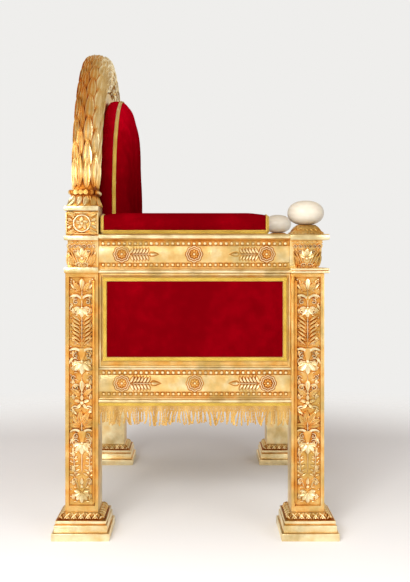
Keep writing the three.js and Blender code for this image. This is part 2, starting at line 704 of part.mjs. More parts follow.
function crossRail(faceY, out, carved) {
  const length = 2 * (POST_INNER - GAP);
  const along = new THREE.Vector3().crossVectors(out, UP);
  const place = new THREE.Matrix4().makeBasis(out, UP, along)
    .setPosition(-along.x * (length / 2), faceY, SEAT_RAIL_Z);
  const body = railBody(railSection(SEAT_RAIL_HEIGHT, 0), length, place);
  if (!carved) {
    return body;
  }
  const field = SEAT_RAIL_Z + (BEAD_ROW_LOW + BEAD_ROW_HIGH) / 2;
  const motifs = [];
  motifs.push(onFace(beads(length), new THREE.Vector3(0, faceY, SEAT_RAIL_Z + BEAD_ROW_LOW), UP, out));
  const end = length / 2 - FRONT_ROSETTE_INSET;
  for (const x of [-end, 0, end]) {
    const point = new THREE.Vector3(x, faceY, field);
    motifs.push(onFace(rosette(ROSETTE_RADIUS, ROSETTE_HEIGHT, 5), point, UP, out));
  }
  for (const side of [-1, 1]) {
    const point = new THREE.Vector3(side * (ROSETTE_RADIUS + PALMETTE_LENGTH), faceY, field);
    for (const shape of fan(3, 1.6, PALMETTE_LENGTH * 0.82, 18, 4)) {
      motifs.push(onFace(shape, point, UP, out, (-side * Math.PI) / 2));
    }
  }
  return join(body, motifs);
}

// Laurel hoop

// The section's back is flat. Its other points are the ribs of the leaves, numbered from the outer face
function hoopSection() {
  const half = HOOP_HALF;
  const back = HOOP_BACK_Y;
  const front = HOOP_FRONT_Y;
  const flat = [[-half, back - 6], [-half + 5, back], [half - 6, back], [half, back - 7]];
  const ribs = [[half, back - 24], [half - 2, front + 16], [half - 14, front + 4], [half - 38, front],
    [-half + 38, front], [-half + 14, front + 4], [-half + 1, front + 18], [-half, back - 22]];
  return { flat, ribs };
}

function hoopPoint(turn, reach, y) {
  return new THREE.Vector3(-(HOOP_RADIUS + reach) * Math.cos(turn), y,
    HOOP_CENTRE_Z + (HOOP_RADIUS + reach) * Math.sin(turn));
}

// One side of the hoop as rings from the post's head up to the crown
function hoopRings() {
  const { flat, ribs } = hoopSection();
  const middleY = (HOOP_BACK_Y + HOOP_FRONT_Y) / 2;
  const rings = [];
  const ring = (turnOf, grow) => {
    const points = flat.map(([reach, y]) => hoopPoint(turnOf(-1), reach, y));
    ribs.forEach(([reach, y], rib) => {
      const [deep, wide] = [(y - middleY) / (HOOP_DEPTH / 2), reach / HOOP_HALF];
      points.push(hoopPoint(turnOf(rib), reach + wide * grow(rib), y + Math.min(deep, 0) * grow(rib)));
    });
    return points;
  };
  const cup = (dz, grow) => [...flat, ...ribs].map(([reach, y]) => new THREE.Vector3(
    -(HOOP_RADIUS + reach + (reach > 0 ? 0.4 * grow : 0)), y + Math.sign(y - middleY) * grow,
    REAR_POST_TOP + dz));
  rings.push(cup(GAP, CUP_FLARE));
  rings.push(cup(CUP_HEIGHT * 0.45, CUP_FLARE * 0.3));
  rings.push(cup(CUP_HEIGHT * 0.85, -2));
  rings.push(cup(CUP_HEIGHT * 0.9, 2));
  rings.push(cup(CUP_HEIGHT, 2));
  const tierTurn = Math.PI / 2 / (LAUREL_TIERS - 0.2);
  for (let tier = 0; tier < LAUREL_TIERS; tier += 1) {
    const isTip = (rib) => (rib + tier) % 2 === 0;
    const start = tier * tierTurn + 0.01;
    const last = tier === LAUREL_TIERS - 1;
    rings.push(ring(() => start, () => -LAUREL_LIFT));
    const reach = (rib) => (last ? 0.8 : 0.94 + (rib < 0 ? 0 : (isTip(rib) ? 0.2 : -0.14)));
    rings.push(ring((rib) => start + tierTurn * reach(rib) - 0.01, (rib) => (isTip(rib) ? 0.5 : -2.5)));
  }
  return rings;
}

function hoop() {
  const left = hoopRings();
  const right = left.slice(0, -1).reverse().map((ring) => ring.map((p) => new THREE.Vector3(-p.x, p.y, p.z)));
  const { flat, ribs } = hoopSection();
  return loft([...left, ...right], [...flat, ...ribs].map(([reach, y]) => new THREE.Vector2(reach, -y)));
}

// Upholstery

const onLeftSide = (distance) => (y, z, height) => new THREE.Vector3(-distance - height, -y, z);
const onRightward = (distance) => (y, z, height) => new THREE.Vector3(-distance + height, y, z);
const onFront = (distance) => (x, z, height) => new THREE.Vector3(x, distance - height, z);
const onRear = (distance) => (x, z, height) => new THREE.Vector3(-x, distance + height, z);
const onTop = (distance) => (x, y, height) => new THREE.Vector3(x, y, distance + height);

const PAD_FRONT = RAIL_FRONT_Y + FRAME_BAND;
const PAD_REAR = RAIL_REAR_Y - FRAME_BAND;
const PAD_BOTTOM = SEAT_RAIL_TOP + FRAME_FOOT_BAND;
const PAD_TOP = ARM_RAIL_Z - FRAME_BAND;

function sideFrame() {
  return box(-FRAME_FACE, -LINING_FACE, RAIL_FRONT_Y, RAIL_REAR_Y, SEAT_RAIL_TOP + GAP, ARM_RAIL_Z - GAP);
}

function sidePanel() {
  const outline = rectangle(-PAD_REAR, -PAD_FRONT, PAD_BOTTOM, PAD_TOP);
  const levels = [[GAP, 0], [2, 0], [PANEL_CROWN * 0.7, BRAID_WIDTH + 12], [PANEL_CROWN, 60]];
  return padded(outline, levels, onLeftSide(FRAME_FACE));
}

function sideBraid() {
  const outline = rectangle(-PAD_REAR, -PAD_FRONT, PAD_BOTTOM, PAD_TOP);
  const ring = band(outline, 0.2, BRAID_WIDTH, onLeftSide(FRAME_FACE), 1, BRAID_THICKNESS + 2);
  const panel = sidePanel();
  const lifted = merged(panel);
  lifted.translate(-GAP, 0, 0);
  return cut(ring, [lifted, panel]);
}

function armLining() {
  const outline = rectangle(RAIL_FRONT_Y + LINING_INSET, FRAME_FRONT_Y - BACK_BOXING - LINING_INSET,
    SEAT_RAIL_TOP + LINING_INSET, ARM_RAIL_Z + SEAT_RAIL_HEIGHT / 2);
  const levels = [[GAP, 0], [8, 0], [LINING_CROWN * 0.8, 12], [LINING_CROWN, 50]];
  const pad = padded(outline, levels, onRightward(LINING_FACE));
  const rail = box(-POST_FACE, -RAIL_FACE + RAIL_THICKNESS + GAP, POST_FRONT_Y, RAIL_REAR_Y,
    ARM_RAIL_Z - 2 * GAP, ARM_RAIL_TOP);
  return cut(pad, [rail]);
}

const armPadOutline = roundedRectangle(-RAIL_FACE + ARM_PAD_SETBACK,
  -RAIL_FACE + ARM_PAD_SETBACK + ARM_PAD_WIDTH, ARM_PAD_FRONT_Y, RAIL_REAR_Y, ARM_PAD_CORNER);

function armPad() {
  const top = ARM_PAD_HEIGHT;
  const levels = [[GAP, 0], [top * 0.62, 0], [top * 0.88, 6], [top, 20]];
  return padded(armPadOutline, levels, onTop(ARM_RAIL_TOP));
}

function armBraid() {
  const skirt = padded((inset) => armPadOutline(inset - GAP - BRAID_THICKNESS),
    [[GAP, 0], [BRAID_WIDTH, 0]], onTop(ARM_RAIL_TOP));
  const hole = padded((inset) => armPadOutline(inset - GAP), [[0, 0], [BRAID_WIDTH + 1, 0]],
    onTop(ARM_RAIL_TOP));
  const behind = box(-POST_FACE - 20, 0, RAIL_REAR_Y - GAP, RAIL_REAR_Y + 30, ARM_RAIL_TOP - 1,
    ARM_RAIL_TOP + 40);
  return cut(skirt, [hole, behind]);
}

// Fringe: a braid header with tassel ends below it
function fringe(length, place) {
  const points = [new THREE.Vector2(0, 0), new THREE.Vector2(0, -FRINGE_DROP + 6)];
  for (let i = 0; i < FRINGE_TASSELS; i += 1) {
    points.push(new THREE.Vector2(((i + 0.5) * length) / FRINGE_TASSELS, -FRINGE_DROP));
    points.push(new THREE.Vector2(((i + 1) * length) / FRINGE_TASSELS, -FRINGE_DROP + 6));
  }
  points.push(new THREE.Vector2(length, 0));
  const geometry = new THREE.ExtrudeGeometry(new THREE.Shape(points), {
    depth: FRINGE_THICKNESS, bevelEnabled: false });
  geometry.applyMatrix4(place);
  return geometry;
}

function sideFringe() {
  const place = new THREE.Matrix4().makeBasis(FORWARD, UP, LEFT)
    .setPosition(-RAIL_FACE + 4, RAIL_REAR_Y, SEAT_RAIL_Z - GAP);
  return fringe(RAIL_REAR_Y - RAIL_FRONT_Y, place);
}

function frontFringe() {
  const length = 2 * (POST_INNER - GAP);
  const place = new THREE.Matrix4().makeBasis(new THREE.Vector3(1, 0, 0), UP, FORWARD)
    .setPosition(-length / 2, FRONT_RAIL_FACE_Y + 4, SEAT_RAIL_Z - GAP);
  return fringe(length, place);
}

const FRONT_RAIL_FACE_Y = POST_FRONT_Y - POST_DEPTH / 2 + RAIL_SETBACK;
const REAR_RAIL_FACE_Y = POST_REAR_Y + POST_DEPTH / 2 - RAIL_SETBACK;
const BACK_FACE_Y = FRAME_FRONT_Y - BACK_BOXING - BACK_CROWN;

function seatDeck() {
  const half = RAIL_FACE - RAIL_THICKNESS - GAP;
  const front = Math.max(FRONT_RAIL_FACE_Y + RAIL_THICKNESS + GAP, RAIL_FRONT_Y);
  const rear = Math.min(REAR_RAIL_FACE_Y - RAIL_THICKNESS - GAP, RAIL_REAR_Y);
  return box(-half, half, front, rear, SEAT_RAIL_TOP - DECK_THICKNESS, SEAT_RAIL_TOP);
}

function seatOutline() {
  const half = POST_INNER - SEAT_SIDE_CLEARANCE;
  return roundedRectangle(-half, half, FRONT_RAIL_FACE_Y + SEAT_FRONT_INSET,
    BACK_FACE_Y - BACK_CLEARANCE, SEAT_CORNER);
}

function seatCushion() {
  const top = SEAT_HEIGHT;
  const levels = [[GAP, 4], [10, 0], [top * 0.6, 0], [top * 0.8, 6], [top * 0.93, 30], [top, 110]];
  return padded(seatOutline(), levels, onTop(SEAT_RAIL_TOP));
}

function seatBraid() {
  const half = POST_INNER - SEAT_SIDE_CLEARANCE;
  const y = FRONT_RAIL_FACE_Y + SEAT_FRONT_INSET;
  return box(-half + 16, half - 16, y - GAP - BRAID_THICKNESS, y - GAP, SEAT_RAIL_TOP + GAP,
    SEAT_RAIL_TOP + GAP + BRAID_WIDTH);
}

function backFrame() {
  const outline = archOutline(HOOP_INNER - ARCH_CLEARANCE, POST_INNER - GAP, SEAT_RAIL_TOP + GAP,
    REAR_POST_TOP - GAP, ARCH_STEPS);
  return padded(outline, [[0, 0], [BACK_THICKNESS, 0]], onFront(FRAME_BACK_Y));
}

const backPadOutline = archOutline(BACK_PAD_RADIUS, BACK_PAD_RADIUS, SEAT_RAIL_TOP + BACK_PAD_INSET,
  REAR_POST_TOP, ARCH_STEPS);

function backPad() {
  const levels = [[GAP, 0], [BACK_BOXING, 0], [BACK_BOXING + BACK_CROWN * 0.55, 22],
    [BACK_BOXING + BACK_CROWN * 0.88, 70], [BACK_BOXING + BACK_CROWN, 150]];
  return padded(backPadOutline, levels, onFront(FRAME_FRONT_Y));
}

function backBraid() {
  const start = BACK_BOXING - BRAID_WIDTH;
  const shell = padded((inset) => backPadOutline(inset - GAP - BRAID_THICKNESS),
    [[start, 0], [BACK_BOXING, 0]], onFront(FRAME_FRONT_Y));
  const hole = padded((inset) => backPadOutline(inset - GAP), [[start - 1, 0], [BACK_BOXING + 1, 0]],
    onFront(FRAME_FRONT_Y));
  const below = box(-POST_FACE, POST_FACE, 0, POST_REAR_Y, SEAT_RAIL_Z, SEAT_TOP);
  return cut(shell, [hole, below]);
}

function backPanel() {
  const levels = [[GAP, 0], [2, 0], [BACK_PANEL_CROWN, 30]];
  return padded(backPadOutline, levels, onRear(FRAME_BACK_Y));
}

function backPanelBraid() {
  const ring = band(backPadOutline, 0.2, BRAID_WIDTH, onRear(FRAME_BACK_Y), 1, BRAID_THICKNESS + 1);
  const lifted = merged(backPanel());
  lifted.translate(0, GAP, 0);
  return cut(ring, [lifted, backPanel()]);
}

// The throne

const throne = new THREE.Group();

function place(name, geometry, material) {
  const mesh = new THREE.Mesh(geometry, material(name));
  mesh.name = name;
  throne.add(mesh);
}

function pair(name, geometry, material) {
  place(`${name}_left`, geometry, material);
  place(`${name}_right`, mirrored(geometry), material);
}

pair('foot_front', foot(POST_FRONT_Y, FRONT_FOOT_FORWARD), gilding);
pair('foot_rear', foot(POST_REAR_Y, 0), gilding);
pair('post_front', frontPost(), gilding);
pair('post_rear', rearPost(), gilding);
pair('capital', capital(), gilding);
pair('ball', ball(), ivory);
pair('arm_rail', sideRail(ARM_RAIL_Z, ARM_RAIL_FRONT_Y, RAIL_REAR_Y, ARM_TOP_MOULDING, false), gilding);
pair('side_rail', sideRail(SEAT_RAIL_Z, RAIL_FRONT_Y, RAIL_REAR_Y, 0, true), gilding);
place('front_rail', crossRail(FRONT_RAIL_FACE_Y, FORWARD, true), gilding);
place('rear_rail', crossRail(REAR_RAIL_FACE_Y, BACKWARD, false), gilding);
pair('side_frame', sideFrame(), gilding);
pair('side_panel', sidePanel(), velvet);
pair('side_braid', sideBraid(), goldBraid);
pair('arm_lining', armLining(), velvet);
pair('arm_pad', armPad(), velvet);
pair('arm_braid', armBraid(), goldBraid);
pair('fringe', sideFringe(), goldBraid);
place('fringe_front', frontFringe(), goldBraid);
place('seat_deck', seatDeck(), velvet);
place('seat_cushion', seatCushion(), velvet);
place('seat_braid', seatBraid(), goldBraid);
place('hoop', hoop(), gilding);
place('back_frame', backFrame(), gilding);
place('back_pad', backPad(), velvet);
place('back_braid', backBraid(), goldBraid);
place('back_panel', backPanel(), velvet);
place('back_panel_braid', backPanelBraid(), goldBraid);

export default throne;
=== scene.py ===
"""A gilded throne with crimson velvet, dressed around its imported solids.

The front faces -Y, and the camera looks at the left side from -X. Carving is drawn in
millimetres on a flat drawing, and the matrix of a face brings it to the throne's metres.
"""

import math
import random

import bmesh
import bpy
from mathutils import Matrix, Vector
from mathutils.bvhtree import BVHTree


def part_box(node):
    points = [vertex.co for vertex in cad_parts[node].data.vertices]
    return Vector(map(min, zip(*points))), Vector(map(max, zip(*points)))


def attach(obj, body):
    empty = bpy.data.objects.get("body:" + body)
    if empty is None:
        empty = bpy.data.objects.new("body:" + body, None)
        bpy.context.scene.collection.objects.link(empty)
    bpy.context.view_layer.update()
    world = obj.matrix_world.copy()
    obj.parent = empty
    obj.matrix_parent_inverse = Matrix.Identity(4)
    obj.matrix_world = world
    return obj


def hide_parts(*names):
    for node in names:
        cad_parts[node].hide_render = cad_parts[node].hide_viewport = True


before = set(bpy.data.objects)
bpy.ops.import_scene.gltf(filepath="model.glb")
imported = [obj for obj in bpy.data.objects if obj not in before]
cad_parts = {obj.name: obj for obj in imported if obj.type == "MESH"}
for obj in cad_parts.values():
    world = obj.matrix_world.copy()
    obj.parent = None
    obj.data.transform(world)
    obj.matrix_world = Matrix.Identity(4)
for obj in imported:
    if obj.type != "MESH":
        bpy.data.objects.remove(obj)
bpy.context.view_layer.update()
bpy.ops.object.select_all(action="DESELECT")

MM = 0.001
UP = Vector((0, 0, 1))
LEFT = Vector((-1, 0, 0))
RIGHT = -LEFT
FRONT = Vector((0, -1, 0))
BACK = -FRONT
MIRROR = Matrix.Scale(-1, 4, (1, 0, 0))

# Camera, at the photograph's viewing angle

CAMERA_PLACE = (-2.432, -0.0062, 0.6696)
CAMERA_LENS = 52.8
CAMERA_SENSOR = 36
CAMERA_SHIFT = (0.0120, -0.0612)

camera_lens = bpy.data.cameras.new("camera")
camera_lens.lens = CAMERA_LENS
camera_lens.sensor_width = CAMERA_SENSOR
camera_lens.shift_x, camera_lens.shift_y = CAMERA_SHIFT
camera = bpy.data.objects.new("camera", camera_lens)
camera.location = CAMERA_PLACE
camera.rotation_euler = (math.pi / 2, 0, -math.pi / 2)
bpy.context.scene.collection.objects.link(camera)
bpy.context.scene.camera = camera
bpy.context.scene.view_settings.view_transform = "Standard"

# Finishes


def tint(red, green, blue):
    """A display colour, 0 to 255, as the linear colour that a shader takes."""
    shares = [channel / 255 for channel in (red, green, blue)]
    return tuple(c / 12.92 if c <= 0.04045 else ((c + 0.055) / 1.055) ** 2.4 for c in shares) + (1,)


class Value:
    """A number that varies over a surface. Arithmetic on it adds Math nodes."""

    def __init__(self, finish, socket):
        self.finish = finish
        self.socket = socket

    def math(self, operation, first, second=0.0, clamp=False):
        settings = {"operation": operation, "use_clamp": clamp}
        return self.finish.add("ShaderNodeMath", settings, {0: first, 1: second})

    def __add__(self, other):
        return self.math("ADD", self, other)

    def __sub__(self, other):
        return self.math("SUBTRACT", self, other)

    def __rsub__(self, other):
        return self.math("SUBTRACT", other, self)

    def __mul__(self, other):
        return self.math("MULTIPLY", self, other)

    def __abs__(self):
        return self.math("ABSOLUTE", self)

    __radd__ = __add__
    __rmul__ = __mul__

    def part(self):
        return self.math("FRACT", self)

    def held(self):
        """The same number, kept between 0 and 1."""
        return self.math("ADD", self, 0.0, clamp=True)


class Finish:
    """A material, its nodes and the shader that they feed."""

    def __init__(self, name, **constants):
        self.material = bpy.data.materials.new(name)
        self.material.use_nodes = True
        self.tree = self.material.node_tree
        self.shader = self.tree.nodes["Principled BSDF"]
        for socket, constant in constants.items():
            self.feed(self.shader.inputs[socket.replace("_", " ")], constant)

    def add(self, kind, settings, sockets, output=0):
        """Adds a node: its settings first, then the values or links of its sockets."""
        node = self.tree.nodes.new(kind)
        for name, setting in settings.items():
            if name == "stops":
                self.set_stops(node.color_ramp, setting)
            else:
                setattr(node, name, setting)
        for name, source in sockets.items():
            self.feed(node.inputs[name], source)
        return Value(self, node.outputs[output])

    def set_stops(self, ramp, stops):
        while len(ramp.elements) < len(stops):
            ramp.elements.new(0.5)
        for element, (place, colour) in zip(ramp.elements, stops):
            element.position = place
            element.color = colour

    def feed(self, socket, source):
        if isinstance(source, Value):
            self.tree.links.new(source.socket, socket)
        else:
            socket.default_value = source

    def give(self, socket, source):
        self.feed(self.shader.inputs[socket], source)

    def where(self, stretch=(1, 1, 1)):
        place = self.add("ShaderNodeTexCoord", {}, {}, "Object")
        return self.add("ShaderNodeMapping", {}, {"Vector": place, "Scale": stretch})

    def noise(self, scale, detail=3.0, stretch=(1, 1, 1)):
        sockets = {"Vector": self.where(stretch), "Scale": scale, "Detail": detail}
        return self.add("ShaderNodeTexNoise", {}, sockets)

    def ramp(self, share, stops):
        return self.add("ShaderNodeValToRGB", {"stops": stops}, {"Fac": share})

    def blend(self, share, first, second):
        return self.add("ShaderNodeMix", {"data_type": "RGBA"}, {0: share, 6: first, 7: second}, 2)

    def bump(self, height, distance, strength=1.0):
        sockets = {"Height": height, "Distance": distance, "Strength": strength}
        self.give("Normal", self.add("ShaderNodeBump", {}, sockets, "Normal"))


def gold_leaf():
    """Gold leaf over red-brown bole, with light painted in: pale crests as painted highlight,
    orange and duller hollows, partly bole and partly painted shade.
    """
    finish = Finish("gilding", Metallic=0.96)
    patches = finish.noise(17, 6)
    glints = finish.noise(27, 4)
    laps = finish.noise(46, 5)
    grain = finish.noise(380, 2)
    # Painted light: relief marks, pointiness and ambient occlusion pale the crests and edges as
    # painted highlight and darken hollows and creases as painted shade; glints and patches add
    # painted highlight
    relief = finish.add("ShaderNodeAttribute", {"attribute_name": "relief"}, {}, "Fac")
    edges = finish.add("ShaderNodeNewGeometry", {}, {}, "Pointiness")
    hollows = finish.add("ShaderNodeAmbientOcclusion", {"samples": 6, "only_local": True},
                         {"Distance": 0.007}, "AO")
    height = (relief + (edges - 0.5) * 2.0 + (hollows - 1.0) * 0.72 + (laps - 0.5) * 0.5
              + (glints - 0.5) * 0.5 + (patches - 0.5) * 0.45).held()
    gold = finish.ramp(height, [
        (0.0, tint(146, 74, 16)),
        (0.2, tint(206, 128, 46)),
        (0.45, tint(231, 170, 84)),
        (0.72, tint(243, 206, 136)),
        (1.0, tint(255, 240, 196)),
    ])
    # Olive patches paint the reflection of a darker room in the uneven leaf
    painted_reflection = (patches * 6.0 - 2.8).held()
    finish.give("Base Color", finish.blend(painted_reflection * 0.62, gold, tint(190, 158, 84)))
    finish.give("Roughness", (0.44 - height * 0.20 + laps * 0.14).held())
    finish.bump(laps * 0.8 + grain * 0.25 + glints * 1.0 + patches * 0.9, 0.0018, 0.8)
    return finish.material


def velvet_cloth():
    finish = Finish("velvet", Roughness=0.9, Sheen_Weight=0.14, Sheen_Roughness=0.35,
                    Sheen_Tint=tint(230, 2, 30), Specular_IOR_Level=0.0)
    sweep = finish.noise(5.5, 3, (1, 1, 0.4))
    crush = finish.noise(38, 4)
    pile = finish.noise(1500, 2)
    # Painted light: paler above 0.78 m, a painted sheen where the back pad's top catches the light
    velvet_height = finish.add("ShaderNodeSeparateXYZ", {}, {0: finish.where()}, "Z")
    painted_top_light = ((velvet_height - 0.78) * 2.6).held()
    shade = (sweep * 0.6 + crush * 0.3 + pile * 0.25 - 0.13 + painted_top_light * 0.6).held()
    finish.give("Base Color", finish.ramp(shade, [
        (0.0, tint(80, 0, 4)),
        (0.45, tint(102, 0, 6)),
        (0.72, tint(136, 0, 12)),
        (1.0, tint(188, 0, 26)),
    ]))
    finish.bump(pile * 0.8 + crush * 0.7 + sweep, 0.0008, 0.6)
    return finish.material


def woven_braid():
    """Gold braid: two rows of slanting stitches that meet on a middle line, with corded edges."""
    finish = Finish("braid", Metallic=0.35, Roughness=0.52, Sheen_Weight=0.2)
    seam = finish.add("ShaderNodeUVMap", {"uv_map": "braid"}, {})
    along = finish.add("ShaderNodeSeparateXYZ", {}, {0: seam}, "X")
    across = finish.add("ShaderNodeSeparateXYZ", {}, {0: seam}, "Y")
    off_middle = abs(across - 0.5) * 2
    stitch = abs((along * 330 + off_middle * 0.9).part() - 0.5) * 2
    cords = abs((off_middle * 2.0).part() - 0.5) * 2
    age = finish.noise(30, 3)
    lit = ((1 - stitch) * 0.7 + (1 - cords) * 0.25 + age * 0.5 - 0.12).held()
    finish.give("Base Color", finish.ramp(lit, [
        (0.0, tint(104, 70, 6)),
        (0.4, tint(178, 134, 30)),
        (0.75, tint(216, 180, 62)),
        (1.0, tint(240, 214, 110)),
    ]))
    finish.bump((1 - stitch) * 0.8 + (1 - cords) * 0.5, 0.0012, 0.8)
    return finish.material


def silk_thread():
    finish = Finish("fringe", Metallic=0.15, Roughness=0.5, Sheen_Weight=0.25)
    tone = finish.noise(60, 3, (1, 1, 0.2))
    twist = finish.add("ShaderNodeTexWave", {"bands_direction": "DIAGONAL"},
                       {"Vector": finish.where(), "Scale": 260.0, "Distortion": 1.0})
    finish.give("Base Color", finish.ramp((tone * 0.9 + twist * 0.25 - 0.1).held(), [
        (0.0, tint(132, 84, 14)),
        (0.5, tint(198, 152, 68)),
        (1.0, tint(244, 214, 136)),
    ]))
    finish.bump(twist, 0.0006, 0.6)
    return finish.material


def turned_ivory():
    finish = Finish("ivory", Coat_Weight=0.35, Coat_Roughness=0.12, Subsurface_Weight=0.12,
                    Subsurface_Radius=(0.012, 0.008, 0.005))
    rings = finish.noise(26, 5, (1, 1, 7))
    cloud = finish.noise(11, 3)
    finish.give("Base Color", finish.ramp((rings * 0.55 + cloud * 0.5 - 0.05).held(), [
        (0.0, tint(178, 165, 144)),
        (0.5, tint(202, 193, 176)),
        (1.0, tint(214, 207, 192)),
    ]))
    finish.give("Roughness", (rings * 0.18 + 0.24).held())
    finish.bump(rings * 0.3 + cloud * 0.5, 0.0006, 0.3)
    return finish.material


def linen_canvas():
    finish = Finish("canvas", Roughness=0.92, Sheen_Weight=0.15)
    warp = finish.add("ShaderNodeTexWave", {"bands_direction": "X"},
                      {"Vector": finish.where(), "Scale": 260.0, "Distortion": 1.5})
    weft = finish.add("ShaderNodeTexWave", {"bands_direction": "Y"},
                      {"Vector": finish.where(), "Scale": 260.0, "Distortion": 1.5})
    slub = finish.noise(70, 4)
    finish.give("Base Color", finish.ramp((warp * 0.3 + weft * 0.3 + slub * 0.5 - 0.1).held(), [
        (0.0, tint(120, 98, 68)),
        (1.0, tint(196, 174, 134)),
    ]))
    finish.bump(warp + weft + slub, 0.0008, 0.6)
    return finish.material


GOLD = gold_leaf()
VELVET = velvet_cloth()
BRAID = woven_braid()
SILK = silk_thread()
IVORY = turned_ivory()
CANVAS = linen_canvas()

# Modelling helpers

ROOT = 1.5              # how deep a carved shape goes into its ground, in drawing millimetres
DRAWING_GAP = 0.01      # points nearer than this become one, on a drawing in millimetres
THRONE_GAP = 0.01 * MM  # and on the throne in metres
SMOOTH_ANGLE = math.radians(38)

# How pale plain gold is beside the carving: 0 as in a hollow, 1 as on a crest; the gilding paints
# low marks as shade and high marks as highlight

PANEL_TONE, STILE_TONE, INNER_FACE_TONE = 0.66, 0.50, 0.82
HEAD_GROUND_TONE, HEAD_TONE = 0.72, 0.97
FOOT_BAND_TONE, FOOT_TONE = 0.10, 0.86
BLOCK_TONE, PLATE_TONE, COLLAR_TONE = 0.76, 0.95, 0.4
UPPER_CHANNEL_TONE, LOWER_CHANNEL_TONE, FIELD_TONE, MOULDING_TONE = 0.55, 0.6, 0.54, 0.85
HOOP_BACK_TONE, HOOP_GROUND_TONE, CUP_TONE = 0.7, 0.2, 0.15
SIDE_FRAME_TONE, BACK_BOARD_TONE = 0.62, 0.75


def chosen(piece):
    """Makes a piece the only selected one."""
    bpy.ops.object.select_all(action="DESELECT")
    piece.select_set(True)
    bpy.context.view_layer.objects.active = piece
    return piece


def to_edit():
    bpy.ops.object.mode_set(mode="EDIT")
    bpy.context.tool_settings.mesh_select_mode = (False, False, True)
    bpy.ops.mesh.select_all(action="SELECT")


def to_object(name=None):
    bpy.ops.object.mode_set(mode="OBJECT")
    piece = bpy.context.object
    if name:
        piece.name = name
    return piece


def pick_faces(test):
    """Selects the faces that pass a test on their middle and normal."""
    piece = bpy.context.object
    bpy.ops.mesh.select_all(action="DESELECT")
    mesh = bmesh.from_edit_mesh(piece.data)
    for face in mesh.faces:
        if test(face.calc_center_median(), face.normal):
            face.select_set(True)
    bmesh.update_edit_mesh(piece.data)


def shape_points(change):
    """Moves every point of the mesh in edit mode by a rule on its place."""
    piece = bpy.context.object
    mesh = bmesh.from_edit_mesh(piece.data)
    for point in mesh.verts:
        point.co = change(point.co.copy())
    bmesh.update_edit_mesh(piece.data)


def closed_up(gap=DRAWING_GAP):
    """Closes seams and poles, and turns all faces outwards."""
    bpy.ops.mesh.select_all(action="SELECT")
    bpy.ops.mesh.remove_doubles(threshold=gap)
    bpy.ops.mesh.normals_make_consistent(inside=False)


def settle(piece):
    """Puts a piece's place and size into its mesh."""
    chosen(piece)
    bpy.ops.object.transform_apply(location=True, rotation=True, scale=True)
    return piece


def use_modifier(piece, kind, **settings):
    modifier = piece.modifiers.new(kind.lower(), kind)
    for name, setting in settings.items():
        setattr(modifier, name, setting)
    chosen(piece)
    bpy.ops.object.modifier_apply(modifier=modifier.name)
    return piece


def soften_edges(piece, width, segments=2, angle=35):
    return use_modifier(piece, "BEVEL", width=width, segments=segments, limit_method="ANGLE",
                        angle_limit=math.radians(angle), harden_normals=False)


def mark_relief(piece, rule):
    """Writes how high each point stands in the carving, from 0 in a hollow to 1 on a crest; the
    gilding paints low marks as shade and high ones as highlight.
    """
    mesh = piece.data
    if "relief" in mesh.attributes:
        mesh.attributes.remove(mesh.attributes["relief"])
    layer = mesh.attributes.new("relief", "FLOAT", "POINT")
    layer.data.foreach_set("value", [rule(point.co) for point in mesh.vertices])
    return piece


def stamp(shape, place):
    """A copy of a shape with its own mesh, put in place."""
    mesh = shape.data.copy()
    mesh.transform(place)
    if place.determinant() < 0:
        mesh.flip_normals()
    copy = bpy.data.objects.new(shape.name, mesh)
    bpy.context.scene.collection.objects.link(copy)
    return copy


def joined(name, parts):
    bpy.ops.object.select_all(action="DESELECT")
    for part in parts:
        part.select_set(True)
    bpy.context.view_layer.objects.active = parts[0]
    if len(parts) > 1:
        bpy.ops.object.join()
    piece = bpy.context.view_layer.objects.active
    piece.name = name
    piece.data.name = name
    return piece


def drawn(name, parts):
    """One drawing out of several placed shapes."""
    return joined(name, [stamp(shape, place) for shape, place in parts])


def drawn_and_cleared(name, parts, *loose):
    """A drawing whose own loose shapes aren't needed again."""
    piece = drawn(name, parts)
    for shape in loose:
        bpy.data.objects.remove(shape)
    return piece


def finish_piece(piece, material, slot, *nodes):
    """Dresses a finished piece, hangs it under the root and hides the solids that it stands for."""
    piece.data.materials.clear()
    piece.data.materials.append(material)
    chosen(piece)
    bpy.ops.object.shade_smooth_by_angle(angle=SMOOTH_ANGLE)
    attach(piece, "root")
    if nodes:
        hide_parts(*nodes)
    return piece


def finish_pair(piece, material, slot, *nodes):
    """Finishes a left piece and its mirror image on the right."""
    name = piece.name
    other = stamp(piece, MIRROR)
    piece.name = f"{name}_left"
    other.name = f"{name}_right"
    finish_piece(piece, material, slot, *[f"{node}_left" for node in nodes])
    finish_piece(other, material, slot, *[f"{node}_right" for node in nodes])
    return piece, other


# Places on a drawing


def at(x, y, turn=0.0, size=1.0, lift=0.0):
    """A place on a drawing, in millimetres, turned clockwise by degrees."""
    turned = Matrix.Rotation(-math.radians(turn), 4, "Z")
    return Matrix.Translation((x, y, lift)) @ turned @ Matrix.Scale(size, 4)


def twice(shape, x, y, turn=0.0, size=1.0):
    """A shape and its mirror image on either side of the drawing's middle line."""
    return [(shape, at(x, y, turn, size)), (shape, MIRROR @ at(x, y, turn, size))]


def on_face(point, up, out):
    """Carries a drawing in millimetres onto a face of the throne."""
    face = Matrix((up.cross(out), up, out)).transposed().to_4x4()
    face.translation = point
    return face @ Matrix.Scale(MM, 4)


# Carved shapes, in drawing millimetres: each grows along +Y from the origin and rises along +Z


